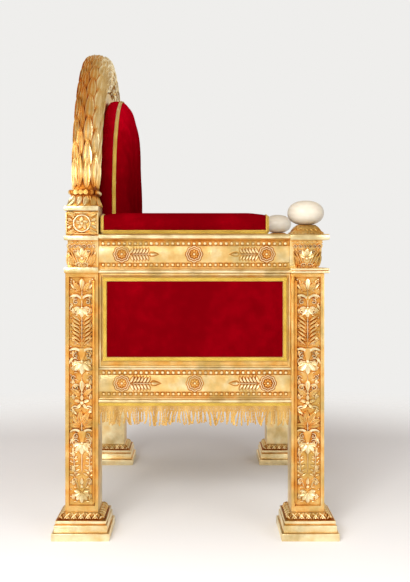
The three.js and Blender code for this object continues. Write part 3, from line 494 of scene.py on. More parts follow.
def carved_strip(name, path, half_width, crest, along=8, across=4, root=ROOT):
    """A solid strip along a path, with its own width and crown at every point."""
    bpy.ops.mesh.primitive_grid_add(x_subdivisions=across, y_subdivisions=along, size=2)
    to_edit()
    bpy.ops.mesh.extrude_region_move(TRANSFORM_OT_translate={"value": (0, 0, 1)})

    def place(point):
        share = min(1.0, max(0.0, (point.y + 1) / 2))
        middle, aside = path(share)
        spot = middle + aside * point.x * half_width(share)
        return Vector((spot.x, spot.y, crest(share, point.x) if point.z > 0.5 else -root))

    shape_points(place)
    closed_up()
    pick_faces(lambda middle, normal: middle.z < -root + 0.01)
    bpy.ops.mesh.dissolve_faces()
    strip = to_object(name)
    tallest = max(point.co.z for point in strip.data.vertices)
    return mark_relief(strip, lambda point: 0.38 + 0.62 * max(0.0, point.z / tallest) ** 0.7)


def leaf(name, length, width, rise, bend=0.0, belly=0.45, curl=0.0, vein=0.25, blunt=0.8, rim=0.0,
         along=7, across=4):
    """A leaf: bend turns its tip aside, curl lifts it, and vein raises or sinks its rib.

    With a rim, hollows part the rib from raised edges, the deeper the nearer it is to 1.
    """
    power = math.log(0.5) / math.log(belly)

    def path(share):
        turn = bend * share
        if abs(bend) < 0.01:
            return Vector((0, length * share)), Vector((1, 0))
        spot = Vector((1 - math.cos(turn), math.sin(turn))) * (length / bend)
        return spot, Vector((math.cos(turn), -math.sin(turn)))

    def half_width(share):
        return width / 2 * max(0.0, math.sin(math.pi * share ** power)) ** blunt

    def crest(share, side):
        body = max(0.0, math.sin(math.pi * share)) ** 0.5
        crown = math.sqrt(max(0.0, 1 - side * side)) + vein * max(0.0, 1 - 2.5 * abs(side))
        if rim:
            steps = (1 + 0.7 * rim, 1 - 0.5 * rim, 1 - 0.5 * rim, 1 + 0.4 * rim, 0.0)
            crown = steps[round(abs(side) * 4)]
        return rise * body * crown + curl * share * share

    return carved_strip(name, path, half_width, crest, along, across)


def volute(name, radius, turns, width, rise, along=15):
    """A scroll that starts upwards and winds in to the right, round a button."""
    def path(share):
        turn = 2 * math.pi * turns * share
        outward = Vector((-math.cos(turn), math.sin(turn)))
        return Vector((radius, 0)) + outward * radius * (1 - 0.74 * share), -outward

    def half_width(share):
        return width / 2 * min(1.0, 0.3 + 5 * share) * (1 - 0.5 * share)

    def crest(share, side):
        return rise * (1 - 0.25 * share) * (0.25 + 0.75 * math.sqrt(max(0.0, 1 - side * side)))

    strip = carved_strip(name, path, half_width, crest, along, 3)
    eye = button("eye", width * 0.42, rise * 1.15, 8, 5)
    return drawn_and_cleared(name, [(strip, at(0, 0)), (eye, at(radius, 0))], strip, eye)


def button(name, radius, rise, segments=10, rings=6):
    bpy.ops.mesh.primitive_uv_sphere_add(segments=segments, ring_count=rings, radius=radius)
    to_edit()
    bpy.ops.mesh.bisect(plane_co=(0, 0, -0.3 * radius), plane_no=(0, 0, 1), use_fill=True,
                        clear_inner=True)
    bpy.ops.mesh.select_all(action="SELECT")
    bpy.ops.transform.resize(value=(1, 1, rise / radius), center_override=(0, 0, 0))
    closed_up()
    knob = to_object(name)
    return mark_relief(knob, lambda point: 0.3 + 0.7 * max(0.0, point.z) / rise)


def hoop_ring(name, radius, thickness, lobes=0, depth=0.0, segments=32):
    """A raised ring, round or with lobes."""
    bpy.ops.mesh.primitive_torus_add(major_segments=segments, minor_segments=6,
                                     major_radius=radius, minor_radius=thickness / 2)
    to_edit()

    def lobed(point):
        turn = math.atan2(point.y, point.x)
        swell = 1 + depth * abs(math.cos(lobes * turn / 2)) - depth / 2
        return Vector((point.x * swell, point.y * swell, point.z))

    shape_points(lobed)
    ring = to_object(name)
    return mark_relief(ring, lambda point: 0.35 + 0.65 * max(0.0, point.z) / (thickness / 2))


def radiating(shape, count, spread, size=1.0, x=0.0, y=0.0, start=0.0, shrink=0.0):
    """Copies of a leaf fanned about one root; the outer ones may be smaller."""
    places = []
    for i in range(count):
        share = i / (count - 1) - 0.5 if count > 1 else 0.0
        scale = size * (1 - shrink * abs(share) * 2)
        places.append((shape, at(x, y, start + share * spread, scale)))
    return places


blade = leaf("blade", 30, 8, 3.4, bend=0.35, belly=0.5, curl=1.0, vein=0.35)
sprig = leaf("sprig", 20, 8, 3.4, bend=0.9, belly=0.45, curl=1.0, vein=-0.4)
petal = leaf("petal", 20, 12, 3.6, belly=0.6, curl=0.8, vein=-0.5, blunt=0.6)
broad = leaf("broad", 34, 17, 4.0, bend=0.5, belly=0.5, curl=1.6, rim=0.5, across=8)
bud = leaf("bud", 22, 11, 3.6, belly=0.3, vein=0.3, blunt=0.9)
bracket = leaf("bracket", 34, 9, 4.8, bend=2.3, belly=0.42, vein=-0.2, blunt=0.7, along=9)
lance = leaf("lance", 60, 9, 3.2, belly=0.4, vein=0.5, along=9)
stem = leaf("stem", 80, 3.6, 2.6, belly=0.5, vein=0.0, blunt=0.25, along=5, across=3)
curl = volute("curl", 9, 1.25, 5.6, 4.0)
small_curl = volute("small_curl", 5, 1.1, 3.4, 3.0, 11)
bead = button("bead", 4.7, 4.6, 10, 6)
seed = button("seed", 3.0, 3.0, 8, 5)
dome = button("dome", 6.0, 4.6, 14, 8)


def painted_lit(shape, share):
    """Scales a shape's relief marks: below 1 the shape is painted in shade, above 1 in highlight.
    """
    marks = shape.data.attributes["relief"].data
    for mark in marks:
        mark.value *= share
    return shape


def painted_lit_copy(shape, share):
    return painted_lit(stamp(shape, Matrix.Identity(4)), share)


def cup_shape():
    """A tulip cup, narrow at its foot."""
    def half_width(share):
        return 4 + 7.5 * share ** 1.4 + 1.6 * math.sin(math.pi * share)

    def crest(share, side):
        return 4.4 * (0.3 + 0.7 * math.sqrt(max(0.0, 1 - side * side))) * (0.75 + 0.25 * share)

    return carved_strip("cup", lambda share: (Vector((0, 27 * share)), Vector((1, 0))),
                        half_width, crest, 6, 6)


cup = painted_lit(cup_shape(), 0.5)
shadow_beds = {}               # the painted shadows: flat dark outlines, one for each shape that has them


def outlined(parts, grow=1.3):
    """The placed shapes with a flat dark outline under each one, as a painted shadow."""
    under = []
    for shape, place in parts:
        if shape.name not in shadow_beds:
            shadow_beds[shape.name] = painted_lit_copy(shape, 0.2)
        box = [Vector(corner) for corner in shape.bound_box]
        middle = (box[0] + box[6]) / 2
        middle.z = 0
        spread = Matrix.Translation(middle) @ Matrix.Diagonal((grow, grow, 0.14, 1))
        under.append((shadow_beds[shape.name], place @ spread @ Matrix.Translation(-middle)))
    return parts + under


def feather():
    """A plume: a stem with leaflets on both sides."""
    parts = [(stem, at(0, 0, 0, 0.78))]
    for i in range(6):
        size = 0.66 - 0.035 * i
        parts += twice(sprig, 1, 4 + 9.5 * i, 38, size)
    parts.append((petal, at(0, 54, 0, 0.62)))
    return drawn("plume", parts)


def acanthus_leaf():
    """A broad leaf with lobes down both its edges."""
    parts = [(broad, at(0, 0))]
    for i in range(4):
        parts.append((sprig, at(1.5 + 0.8 * i, 5 + 6.5 * i, 52 - 4 * i, 0.62 - 0.05 * i)))
        parts.append((sprig, MIRROR @ at(1.5 - 1.2 * i, 4 + 6.5 * i, 44 - 10 * i, 0.6 - 0.05 * i)))
    return drawn("acanthus", parts)


def fern_spray():
    """The spray beside a rosette: pairs of curled leaflets and a pointed bud."""
    parts = []
    for i in range(6):
        parts += twice(sprig, 1.5, 1 + 7.6 * i, 34, 0.94 - 0.02 * i)
    parts = outlined(parts, 1.3)
    parts.append((stem, at(0, 0, 0, 0.86)))
    parts += outlined([(bud, at(0, 50, 0, 1.0))], 1.24)
    return drawn("fern", parts)


def rail_rosette():
    """A rounded diamond of eight lobes in a double ridge, with a flower and a button."""
    # A dark disc and a flat dark ring paint the shade in the rosette's hollows and round its edge
    ground = button("ground", 19.5, 0.5, 24, 4)
    shade = hoop_ring("shade", 19.6, 2.6, 8, 0.12, 48)
    outer = hoop_ring("outer", 17.4, 3.2, 8, 0.12, 48)
    inner = hoop_ring("inner", 12.8, 2.4, 8, 0.12, 48)
    flattened = Matrix.Scale(0.3, 4, (0, 0, 1))
    parts = [(painted_lit(ground, 0.15), at(0, 0, 0, 1, 0.3)), (painted_lit(shade, 0.1), flattened)]
    parts += [(outer, at(0, 0)), (inner, at(0, 0))]
    tongue = painted_lit_copy(petal, 0.55)
    parts += [(tongue, at(0, 0, 45 * i, 0.5)) for i in range(8)]
    parts.append((dome, at(0, 0, 0, 0.55, 2.2)))
    return drawn_and_cleared("rosette", parts, ground, shade, outer, inner, tongue)


def ringed_flower():
    """The head's flower: a round rim, five petals and a button."""
    rim = hoop_ring("rim", 19.6, 5.0, 0, 0, 40)
    parts = [(rim, at(0, 0))]
    parts += [(petal, at(0, 0, 72 * i, 0.82)) for i in range(5)]
    parts += [(sprig, at(0, 0, 72 * i + 30, 0.72)) for i in range(5)]
    parts.append((dome, at(0, 0, 0, 0.8, 1.6)))
    return drawn_and_cleared("ringed_flower", parts, rim)


plume = feather()
acanthus = acanthus_leaf()
fern = fern_spray()
rosette = rail_rosette()
ring_flower = ringed_flower()
# Copies of one gilding with light painted in: beads in painted shade for the rails' lower row,
# petals in painted highlight
shaded_bead = painted_lit_copy(bead, 0.8)
highlighted_petal = painted_lit_copy(petal, 1.5)
SHAPES = [blade, sprig, petal, broad, bud, bracket, lance, stem, curl, small_curl, bead, seed, dome,
          cup, plume, acanthus, fern, rosette, ring_flower, shaded_bead, highlighted_petal]


def drooping_flower(x, y, size):
    """Petals in painted highlight that hang from a calyx."""
    parts = radiating(highlighted_petal, 5, 150, size * 1.2, x, y, 180, 0.2)
    parts += twice(sprig, 3, y, 100, size)
    parts.append((dome, at(x, y, 0, size * 0.6, 1.5)))
    return parts


def scroll_bar(y, size):
    """Two scrolls that bow over to the sides, with their eyes under them."""
    parts = twice(bracket, 0.5, y - 14 * size, 18, size)
    parts += twice(small_curl, 9 * size, y - 12 * size, 60, 1.25 * size)
    parts += twice(sprig, 17 * size, y - 20 * size, 130, 0.9 * size)
    return parts


def candelabra(panel_height):
    """The stem of flowers, cups, scrolls and plumes that fills a post's sunk panel."""
    top = panel_height
    parts = [(stem, at(0, share * top, 0, 1.1)) for share in (0.13, 0.26, 0.42, 0.55, 0.70, 0.80)]
    # Small leaves down both edges, behind the larger forms
    for i in range(int(top / 17)):
        parts += twice(sprig, 20, 12 + 17 * i, 150 if i % 2 else -24, 0.78)
        parts += twice(seed, 26, 21 + 17 * i, 0, 0.75)
        parts += twice(sprig, 9, 8 + 17 * i, 60, 0.55)
    # An inverted palmette at the foot, under a lyre with a drop
    parts += radiating(highlighted_petal, 7, 196, 1.35, 0, 32, 180, 0.3)
    parts += twice(small_curl, 8, 26, 130, 1.2)
    parts += twice(lance, 6, 36, 20, 0.75)
    parts += twice(curl, 10, 60, 20, 0.85)
    parts.append((dome, at(0, 44, 0, 0.8)))
    parts.append((petal, at(0, 68, 180, 1.0)))
    # Two plumes beside the stem
    parts += twice(plume, 15, 64, 5, 1.12)
    # A drooping flower in a cup of scrolls
    parts += drooping_flower(0, 148, 1.15)
    parts.append((cup, at(0, 150, 0, 1.0)))
    parts += scroll_bar(184, 1.1)
    parts += twice(curl, 8, 154, 30, 0.95)
    # Radiating leaves under a flower
    parts += radiating(broad, 4, 104, 1.12, 0, 190, 0, 0.1)
    parts += twice(acanthus, 2, 186, 66, 0.88)
    parts += twice(sprig, 10, 214, 30, 1.0)
    parts += radiating(petal, 5, 280, 0.95, 0, 244, 0)
    parts += twice(bracket, 8, 232, 40, 0.7)
    parts.append((dome, at(0, 244, 0, 0.95, 1.5)))
    # Leafy scrolls about a bud
    parts += twice(acanthus, 3, 258, 36, 0.9)
    parts += twice(sprig, 5, 284, 70, 1.05)
    parts += twice(curl, 6, 284, 24, 1.05)
    parts.append((petal, at(0, 268, 0, 1.5)))
    parts += twice(small_curl, 14, 304, 10, 1.3)
    # A drooping flower below a tulip cup and a bar of scrolls
    parts += drooping_flower(0, 342, 1.3)
    parts.append((cup, at(0, 345, 0, 1.05)))
    parts += scroll_bar(377, 1.2)
    parts += twice(curl, 9, 346, 26, 1.0)
    # The fern of slanting strokes
    for i in range(7):
        parts += twice(blade, 1.5, 378 + 9.5 * i, 44, 1.04)
    # A calyx between volutes, and scrolls with hollows
    parts += drooping_flower(0, 470, 1.0)
    parts.append((lance, at(0, 466, 180, 0.55)))
    parts += twice(curl, 3, 468, 30, 1.1)
    parts += scroll_bar(504, 1.15)
    parts.append((cup, at(0, 480, 0, 0.7)))
    # The bud in its leaves under the panel's top
    parts.append((petal, at(0, 510, 0, 1.5)))
    parts += twice(acanthus, 4, 506, 20, 0.86)
    parts += twice(sprig, 18, 512, 10, 1.1)
    parts += twice(seed, 25, 537, 0, 1.0)
    return drawn("candelabra", parts)


def held_in(drawing, half_width, height):
    """Keeps a drawing between slanting sides."""
    for point in drawing.data.vertices:
        point.co.y = min(height, point.co.y)
        limit = half_width(point.co.y)
        point.co.x = max(-limit, min(limit, point.co.x))
    return drawing


def leaf_block(width, height, taper=0.0):
    """A block's face: a band of little scrolls over ribbed leaves that spread to its corners."""
    half = width / 2
    band = height * 0.77
    parts = []
    count = 6
    for i in range(count):
        x = -half + width * (i + 0.5) / count
        parts.append((small_curl, at(x - 5, band + 1, 0, 1.12)))
        parts.append((seed, at(x - 5, band + 11, 0, 0.7)))
    lean = math.degrees(math.atan2(half - 12, band - 2))
    reach = math.hypot(half - 12, band - 2) / 60
    parts += twice(lance, 9, 1, lean, reach)
    parts += twice(lance, 5, 3, lean - 3, reach * 0.92)
    parts += twice(lance, 14, 1, lean + 4, reach * 0.8)
    parts += twice(acanthus, half * 0.62, 1, 6, 0.98)
    parts += twice(sprig, half * 0.80, 26, 20, 0.95)
    parts += twice(curl, 0.5, 6, 10, 0.86)
    parts += radiating(petal, 5, 116, 1.3, 0, 22, 0, 0.15)
    parts += radiating(sprig, 4, 130, 0.9, 0, band * 0.62, 0, 0.1)
    parts.append((dome, at(0, 22, 0, 0.7, 1.6)))
    parts += twice(small_curl, 12, band - 10, 20, 0.95)
    parts += twice(seed, 8, 4, 0, 1.1)
    block = drawn("leaf_block", parts)
    return held_in(block, lambda y: half - taper * max(0.0, 1 - y / height), height)


def leaf_and_dart(width, count, size):
    """A zigzag of pointed leaves with darts between them."""
    parts = []
    pitch = width / count
    for i in range(count):
        x = -width / 2 + pitch * (i + 0.5)
        for way in (-1, 1):
            turned = Matrix.Translation((x, 0, 0)) @ Matrix.Scale(way, 4, (1, 0, 0))
            parts.append((blade, turned @ at(0.5, 0.5, 31, size * 0.58)))
        parts.append((petal, at(x, 6, 0, size * 0.42)))
        if i:
            parts.append((seed, at(x - pitch / 2, 5, 0, size * 0.7)))
    return drawn("leaf_and_dart", parts)


# Bodies under the carving


def square_stack(levels):
    """A square form grown upwards. Each level is its height and its sides in x and y."""
    def middle(level):
        z, x0, x1, y0, y1 = level
        return Vector(((x0 + x1) / 2, (y0 + y1) / 2, z))

    _, x0, x1, y0, y1 = levels[0]
    bpy.ops.mesh.primitive_plane_add(size=1, location=middle(levels[0]))
    to_edit()
    bpy.ops.transform.resize(value=(x1 - x0, y1 - y0, 1), center_override=middle(levels[0]))
    for lower, upper in zip(levels, levels[1:]):
        step = middle(upper) - middle(lower)
        wide = (upper[2] - upper[1]) / (lower[2] - lower[1])
        deep = (upper[4] - upper[3]) / (lower[4] - lower[3])
        bpy.ops.mesh.extrude_region_move(TRANSFORM_OT_translate={"value": step})
        bpy.ops.transform.resize(value=(wide, deep, 1), center_override=middle(upper))
    closed_up(THRONE_GAP)
    return settle(to_object())


def flat_plate(corners):
    """Starts a body as one flat face, left in edit mode and selected."""
    bpy.ops.mesh.primitive_circle_add(vertices=len(corners), radius=1, fill_type="NGON")
    to_edit()
    piece = bpy.context.object
    mesh = bmesh.from_edit_mesh(piece.data)
    mesh.verts.ensure_lookup_table()
    for point, corner in zip(mesh.verts, corners):
        point.co = corner
    bmesh.update_edit_mesh(piece.data)


def sink_panel(piece, out, low, high, stile, sink):
    """Sinks a framed panel into the faces that look along out, between two heights."""
    chosen(piece)
    to_edit()
    pick_faces(lambda middle, normal: normal.dot(out) > 0.9 and low < middle.z < high)
    bpy.ops.mesh.inset(thickness=stile, depth=0)
    bpy.ops.mesh.inset(thickness=1.4 * MM, depth=-sink)
    return to_object()


def moulding_bar(section, start, along, up, out):
    """A bar with a drawn section, pairs of outward reach and height, extruded along a side."""
    flat_plate([start + out * reach + up * height for reach, height in section])
    bpy.ops.mesh.extrude_region_move(TRANSFORM_OT_translate={"value": along})
    closed_up(THRONE_GAP)
    return to_object()


def half_round(base, low, high, proud, steps=6):
    """The points of a half-round moulding between two heights."""
    middle, half = (low + high) / 2, (high - low) / 2
    turns = [-math.pi / 2 + math.pi * i / steps for i in range(steps + 1)]
    return [(base + proud * math.cos(turn), middle + half * math.sin(turn)) for turn in turns]


# Posts, heads, feet and arm blocks

POST_LOW, POST_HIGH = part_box("post_front_left")
POST_X = (POST_LOW.x + POST_HIGH.x) / 2
POST_FRONT_Y = (POST_LOW.y + POST_HIGH.y) / 2
POST_HALF_X = (POST_HIGH.x - POST_LOW.x) / 2
POST_HALF_Y = (POST_HIGH.y - POST_LOW.y) / 2
POST_REAR_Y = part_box("post_rear_left")[0].y + POST_HALF_Y
POST_FACE_X = POST_LOW.x
ARM_Z = POST_HIGH.z
FOOT_TOP = POST_LOW.z
HEAD_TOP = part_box("post_rear_left")[1].z
STILE = 8.5 * MM
PANEL_SINK = 5 * MM
PANEL_FOOT = 6.5 * MM
PANEL_HEIGHT = ARM_Z - STILE - (FOOT_TOP + PANEL_FOOT + STILE)
WIDE_PANEL = 1.12       # how much the drawing is stretched on the wider faces
LEAF_BLOCK_HEIGHT = 65 * MM
HEAD_PLINTH = 14 * MM
HEAD_FILLET = 12 * MM
FLOWER_BLOCK_HEIGHT = 56 * MM
HEAD_PROUD = 2.5 * MM
EDGE = 0.9 * MM

panel_drawing = candelabra(PANEL_HEIGHT / MM)
SHAPES.append(panel_drawing)


def carved_panel(y, x, out, stretch=1.0):
    """The candelabra on a post's panel, on the face that looks along out."""
    foot = Vector((x, y, FOOT_TOP + PANEL_FOOT + STILE)) - out * PANEL_SINK
    return stamp(panel_drawing, on_face(foot, UP, out) @ Matrix.Scale(stretch, 4, (1, 0, 0)))


def panel_relief(point, faces):
    """Stiles darker than the sunk ground, inner face palest: marks that the gilding paints as shade
    and highlight.
    """
    for middle, out in faces:
        behind = (middle - point).dot(out)
        if 0.4 * PANEL_SINK < behind < 1.6 * PANEL_SINK:
            return PANEL_TONE
    return INNER_FACE_TONE if point.x > POST_X + POST_HALF_X - 1 * MM else STILE_TONE


def front_post():
    y0, y1 = POST_FRONT_Y - POST_HALF_Y, POST_FRONT_Y + POST_HALF_Y
    levels = [(z, POST_X - POST_HALF_X, POST_X + POST_HALF_X, y0, y1)
              for z in (FOOT_TOP, FOOT_TOP + PANEL_FOOT, ARM_Z)]
    body = square_stack(levels)
    for out in (LEFT, FRONT):
        sink_panel(body, out, FOOT_TOP + PANEL_FOOT, ARM_Z, STILE, PANEL_SINK)
    faces = [(Vector((POST_FACE_X, 0, 0)), LEFT), (Vector((0, y0, 0)), FRONT)]
    soften_edges(body, EDGE)
    mark_relief(body, lambda point: panel_relief(point, faces))
    parts = [body, carved_panel(POST_FRONT_Y, POST_FACE_X, LEFT)]
    parts.append(carved_panel(y0, POST_X, FRONT, WIDE_PANEL))
    return joined("front_post", parts)


HEAD_CORNER = [         # what fills each corner about the flower of a post's head
    (broad, at(12, 17, 62, 0.8)), (sprig, at(17, 12, 38, 1.1)), (petal, at(20, 4, 62, 0.85)),
    (seed, at(33, 3, 0, 0.9)),
]


def rear_post():
    y0, y1 = POST_REAR_Y - POST_HALF_Y, POST_REAR_Y + POST_HALF_Y
    x0, x1 = POST_X - POST_HALF_X, POST_X + POST_HALF_X
    plinth = ARM_Z + HEAD_PLINTH
    leaf_top = plinth + LEAF_BLOCK_HEIGHT
    fillet_top = leaf_top + HEAD_FILLET
    flower_top = fillet_top + FLOWER_BLOCK_HEIGHT
    proud = HEAD_PROUD

    def level(z, grow):
        return (z, x0 - grow, x1, y0, y1 + grow)

    body = square_stack([
        level(FOOT_TOP, 0), level(FOOT_TOP + PANEL_FOOT, 0), level(ARM_Z, 0),
        level(ARM_Z + 1 * MM, proud), level(plinth, proud),
        level(plinth + 1 * MM, -5 * MM), level(leaf_top - 1.5 * MM, -5 * MM),
        level(leaf_top, proud), level(fillet_top - 2 * MM, proud),
        level(fillet_top - 1 * MM, -3 * MM), level(fillet_top + 1 * MM, -3 * MM),
        level(fillet_top + 2 * MM, -1 * MM),
        level(flower_top - 2 * MM, -1 * MM), level(flower_top - 1 * MM, -4 * MM),
        level(flower_top + 1 * MM, -4 * MM), level(flower_top + 2 * MM, proud),
        level(HEAD_TOP, proud),
    ])
    for out in (LEFT, BACK):
        sink_panel(body, out, FOOT_TOP + PANEL_FOOT, ARM_Z, STILE, PANEL_SINK)
        sink_panel(body, out, fillet_top + 2 * MM, flower_top - 2 * MM, 2.5 * MM, 3 * MM)
    faces = [(Vector((x0, 0, 0)), LEFT), (Vector((0, y1, 0)), BACK)]
    soften_edges(body, EDGE)

    def relief(point):
        if point.z > ARM_Z + 3 * MM:
            for middle, out in faces:
                if 0.3 * MM < (middle - point).dot(out) < 8 * MM:
                    return HEAD_GROUND_TONE
            return HEAD_TONE
        return panel_relief(point, faces)

    mark_relief(body, relief)
    block = leaf_block(2 * POST_HALF_Y / MM - 10, LEAF_BLOCK_HEIGHT / MM - 2)
    parts = [body, carved_panel(POST_REAR_Y, POST_FACE_X, LEFT)]
    parts.append(carved_panel(y1, POST_X, BACK, WIDE_PANEL))
    flower_z = (fillet_top + flower_top) / 2
    sides = [(Vector((x0, POST_REAR_Y, 0)), LEFT), (Vector((POST_X, y1, 0)), BACK)]
    for spot, out in sides:
        parts.append(stamp(block, on_face(spot + UP * plinth - out * 4.9 * MM, UP, out)))
        middle = on_face(spot + UP * flower_z - out * 3.5 * MM, UP, out)
        parts.append(stamp(ring_flower, middle))
        for x, y in ((1, 1), (-1, 1), (1, -1), (-1, -1)):
            corner = middle @ Matrix.Diagonal((x, y, 1, 1))
            parts += [stamp(shape, corner @ place) for shape, place in HEAD_CORNER]
    bpy.data.objects.remove(block)
    return joined("rear_post", parts)


FOOT_STEPS = [          # heights and set-backs of the foot's levels, in millimetres
    (0, 0), (17, 0), (18.5, 1.5), (18.5, 5.5), (34.5, 5.5), (36, 7), (37, 9.5), (38.5, 8),
    (45, 8), (46, 11),
]
FOOT_LEAF_LOW = 46.5 * MM
FOOT_LEAF_SETBACK = 13 * MM


def foot(node, post_y):
    (x0, y0, _), (x1, y1, top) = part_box(node)
    levels = [(z * MM, x0 + back * MM, x1 - back * MM, y0 + back * MM, y1 - back * MM)
              for z, back in FOOT_STEPS]
    band = (FOOT_LEAF_LOW, x0 + FOOT_LEAF_SETBACK, x1 - FOOT_LEAF_SETBACK,
            y0 + FOOT_LEAF_SETBACK, y1 - FOOT_LEAF_SETBACK)
    head = (top, POST_X - POST_HALF_X, POST_X + POST_HALF_X,
            post_y - POST_HALF_Y, post_y + POST_HALF_Y)
    body = square_stack(levels + [band, head])
    soften_edges(body, EDGE)

    def relief(point):
        in_band = FOOT_LEAF_LOW - 0.9 * MM < point.z < top - 1 * MM
        return FOOT_BAND_TONE if in_band else FOOT_TONE

    mark_relief(body, relief)
    parts = [body]
    rise = top - band[0]
    sides = [(LEFT, band[1], head[1], 2 * POST_HALF_Y), (RIGHT, band[2], head[2], 2 * POST_HALF_Y),
             (FRONT, band[3], head[3], 2 * POST_HALF_X), (BACK, band[4], head[4], 2 * POST_HALF_X)]
    for out, low_edge, high_edge, width in sides:
        lean = abs(high_edge - low_edge)
        slope = math.hypot(lean, rise)
        row = leaf_and_dart((width + 1.4 * lean) / MM, 6, slope / MM / 14.5)
        held_in(row, lambda y: (width / 2 + lean) / MM - y * lean / slope, slope / MM)
        climb = (UP * rise - out * lean).normalized()
        facing = (out * rise + UP * lean).normalized()
        middle_y = post_y if abs(out.x) > 0.5 else low_edge
        middle_x = low_edge if abs(out.x) > 0.5 else POST_X
        spot = Vector((middle_x, middle_y, band[0])) + facing * 0.3 * MM
        parts.append(stamp(row, on_face(spot, climb, facing) @ Matrix.Scale(0.8, 4, (0, 0, 1))))
        bpy.data.objects.remove(row)
    return joined("foot", parts)


BLOCK_LEAN = 9          # how far the arm block's face spreads towards its top, in millimetres
COLLAR_FOOT = 40        # the leaf collar's half widths and its height, in millimetres
COLLAR_HEAD = 21
COLLAR_RISE = 23


def arm_block():
    """The block on a front post: double plate, leaf block, abacus and leaf collar."""
    low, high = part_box("capital_left")
    rear = high.y
    front = POST_FRONT_Y - POST_HALF_Y
    proud = front - low.y
    inner = proud / 2
    plate = 13 * MM
    block = LEAF_BLOCK_HEIGHT
    abacus = 15 * MM
    top = plate + block + abacus
    x0, x1 = POST_X - POST_HALF_X, POST_X + POST_HALF_X

    def level(dz, ahead, aside):
        return (ARM_Z + dz, x0 - ahead, x1 + aside, front - ahead, rear)

    def square(dz, half):
        return (ARM_Z + dz, POST_X - half, POST_X + half, POST_FRONT_Y - half, POST_FRONT_Y + half)

    body = square_stack([
        level(0.3 * MM, proud - 3 * MM, inner - 2 * MM), level(1.5 * MM, proud, inner),
        level(5.2 * MM, proud, inner), level(6.0 * MM, proud - 3 * MM, inner - 2 * MM),
        level(6.8 * MM, proud - 3 * MM, inner - 2 * MM), level(7.6 * MM, proud, inner),
        level(plate - 1.5 * MM, proud, inner), level(plate, proud - 4 * MM, inner - 2 * MM),
        level(plate + 0.5 * MM, -13 * MM, -4 * MM), level(plate + block, -4 * MM, -4 * MM),
        level(plate + block + 1 * MM, proud - 2 * MM, inner - 2 * MM),
        level(plate + block + 3 * MM, proud, inner), level(top - 2 * MM, proud, inner),
        level(top, proud - 2 * MM, inner - 2 * MM), square(top + 0.5 * MM, COLLAR_FOOT * MM),
        square(top + 12 * MM, 30 * MM), square(top + COLLAR_RISE * MM, COLLAR_HEAD * MM),
    ])
    soften_edges(body, EDGE)
    block_low, block_high = ARM_Z + plate + 1 * MM, ARM_Z + plate + block
    collar_low = ARM_Z + top + 1 * MM

    def relief(point):
        if block_low < point.z < block_high:
            return BLOCK_TONE
        return COLLAR_TONE if point.z > collar_low else PLATE_TONE

    mark_relief(body, relief)
    parts = [body]
    carving = leaf_block(2 * POST_HALF_Y / MM - 8, 65, 8)
    middle_y = (front + rear) / 2
    sides = ((LEFT, Vector((x0, middle_y, 0))), (FRONT, Vector((POST_X, front, 0))),
             (RIGHT, Vector((x1, middle_y, 0))))
    for out, spot in sides:
        tilt = (UP * 65 + out * BLOCK_LEAN).normalized()
        facing = (out * 65 - UP * BLOCK_LEAN).normalized()
        foot_spot = spot + UP * (ARM_Z + plate) - out * (12.8 * MM if out != RIGHT else 3.9 * MM)
        if out == RIGHT:
            tilt, facing = UP, out
        parts.append(stamp(carving, on_face(foot_spot, tilt, facing)))
    bpy.data.objects.remove(carving)
    for out in (LEFT, FRONT, RIGHT, BACK):
        climb = (UP * COLLAR_RISE - out * (COLLAR_FOOT - COLLAR_HEAD)).normalized()
        facing = (out * COLLAR_RISE + UP * (COLLAR_FOOT - COLLAR_HEAD)).normalized()
        spot = Vector((POST_X, POST_FRONT_Y, collar_low)) + out * COLLAR_FOOT * MM
        petals = [(petal, at(-24 + 12 * i, 9, (i - 2) * -11, 0.85)) for i in range(5)]
        petals += [(sprig, at(-18 + 12 * i, 14, (i - 1.5) * -12, 0.7)) for i in range(4)]
        petals += [(seed, at(-32 + 8 * i, 4, 0, 0.9)) for i in range(9)]
        row = painted_lit(drawn("collar_leaves", petals), 0.6)
        parts.append(stamp(row, on_face(spot, climb, facing) @ Matrix.Scale(0.4, 4, (0, 0, 1))))
        bpy.data.objects.remove(row)
    return joined("arm_block", parts)


def ball():
    """A flattened ball with full shoulders, flat where it meets the collar."""
    low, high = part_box("ball_left")
    middle = (low + high) / 2
    radius, half = (high.x - low.x) * 0.522, (high.z - low.z) * 0.515
    bpy.ops.mesh.primitive_uv_sphere_add(segments=48, ring_count=28, radius=1)
    to_edit()

    def swell(point):
        lean = math.asin(max(-1.0, min(1.0, point.z)))
        reach = max(0.0, math.cos(lean)) ** 0.86
        height = math.copysign(abs(math.sin(lean)) ** 0.94, lean)
        turn = math.atan2(point.y, point.x)
        return Vector((middle.x + radius * reach * math.cos(turn),
                       middle.y + radius * reach * math.sin(turn),
                       max(low.z, middle.z + half * height)))

    shape_points(swell)
    closed_up(THRONE_GAP)
    return to_object("ivory_ball")


# Rails

RAIL_FACE_X = -(abs(POST_FACE_X) - 10 * MM)
RAIL_HEIGHT = 82 * MM
BEAD_ROWS = (20 * MM, 71 * MM)
BEAD_PITCH = 12.8 * MM
ROSETTE_INSET = 55 * MM


def rail_section(height, top):
    """From the back round the lower moulding, the bead channels and the field to the top."""
    points = [(-66, 0), (3, 0)]
    points += half_round(3, 0.5, 8.5, 4)
    points += [(2.0, 9.0), (1.5, 10.5), (-1.2, 11.5), (-1.2, 14.5)]
    points += [(-2.4, 15.2), (-2.4, 24.6), (-0.6, 25.2), (0, 26.2)]
    points += [(0, 64.6), (-0.6, 65.6), (-2.4, 66.2), (-2.4, 76.2), (-1.2, 77)]
    if top:
        points += [(-2.6, 78.5), (-2.6, height - 1)]
        points += half_round(2, height, height + top, 5, 8)
        points += [(-66, height + top)]
    else:
        points += [(0, 78.5), (0, height), (-66, height)]
    return [(reach * MM, z * MM) for reach, z in points]


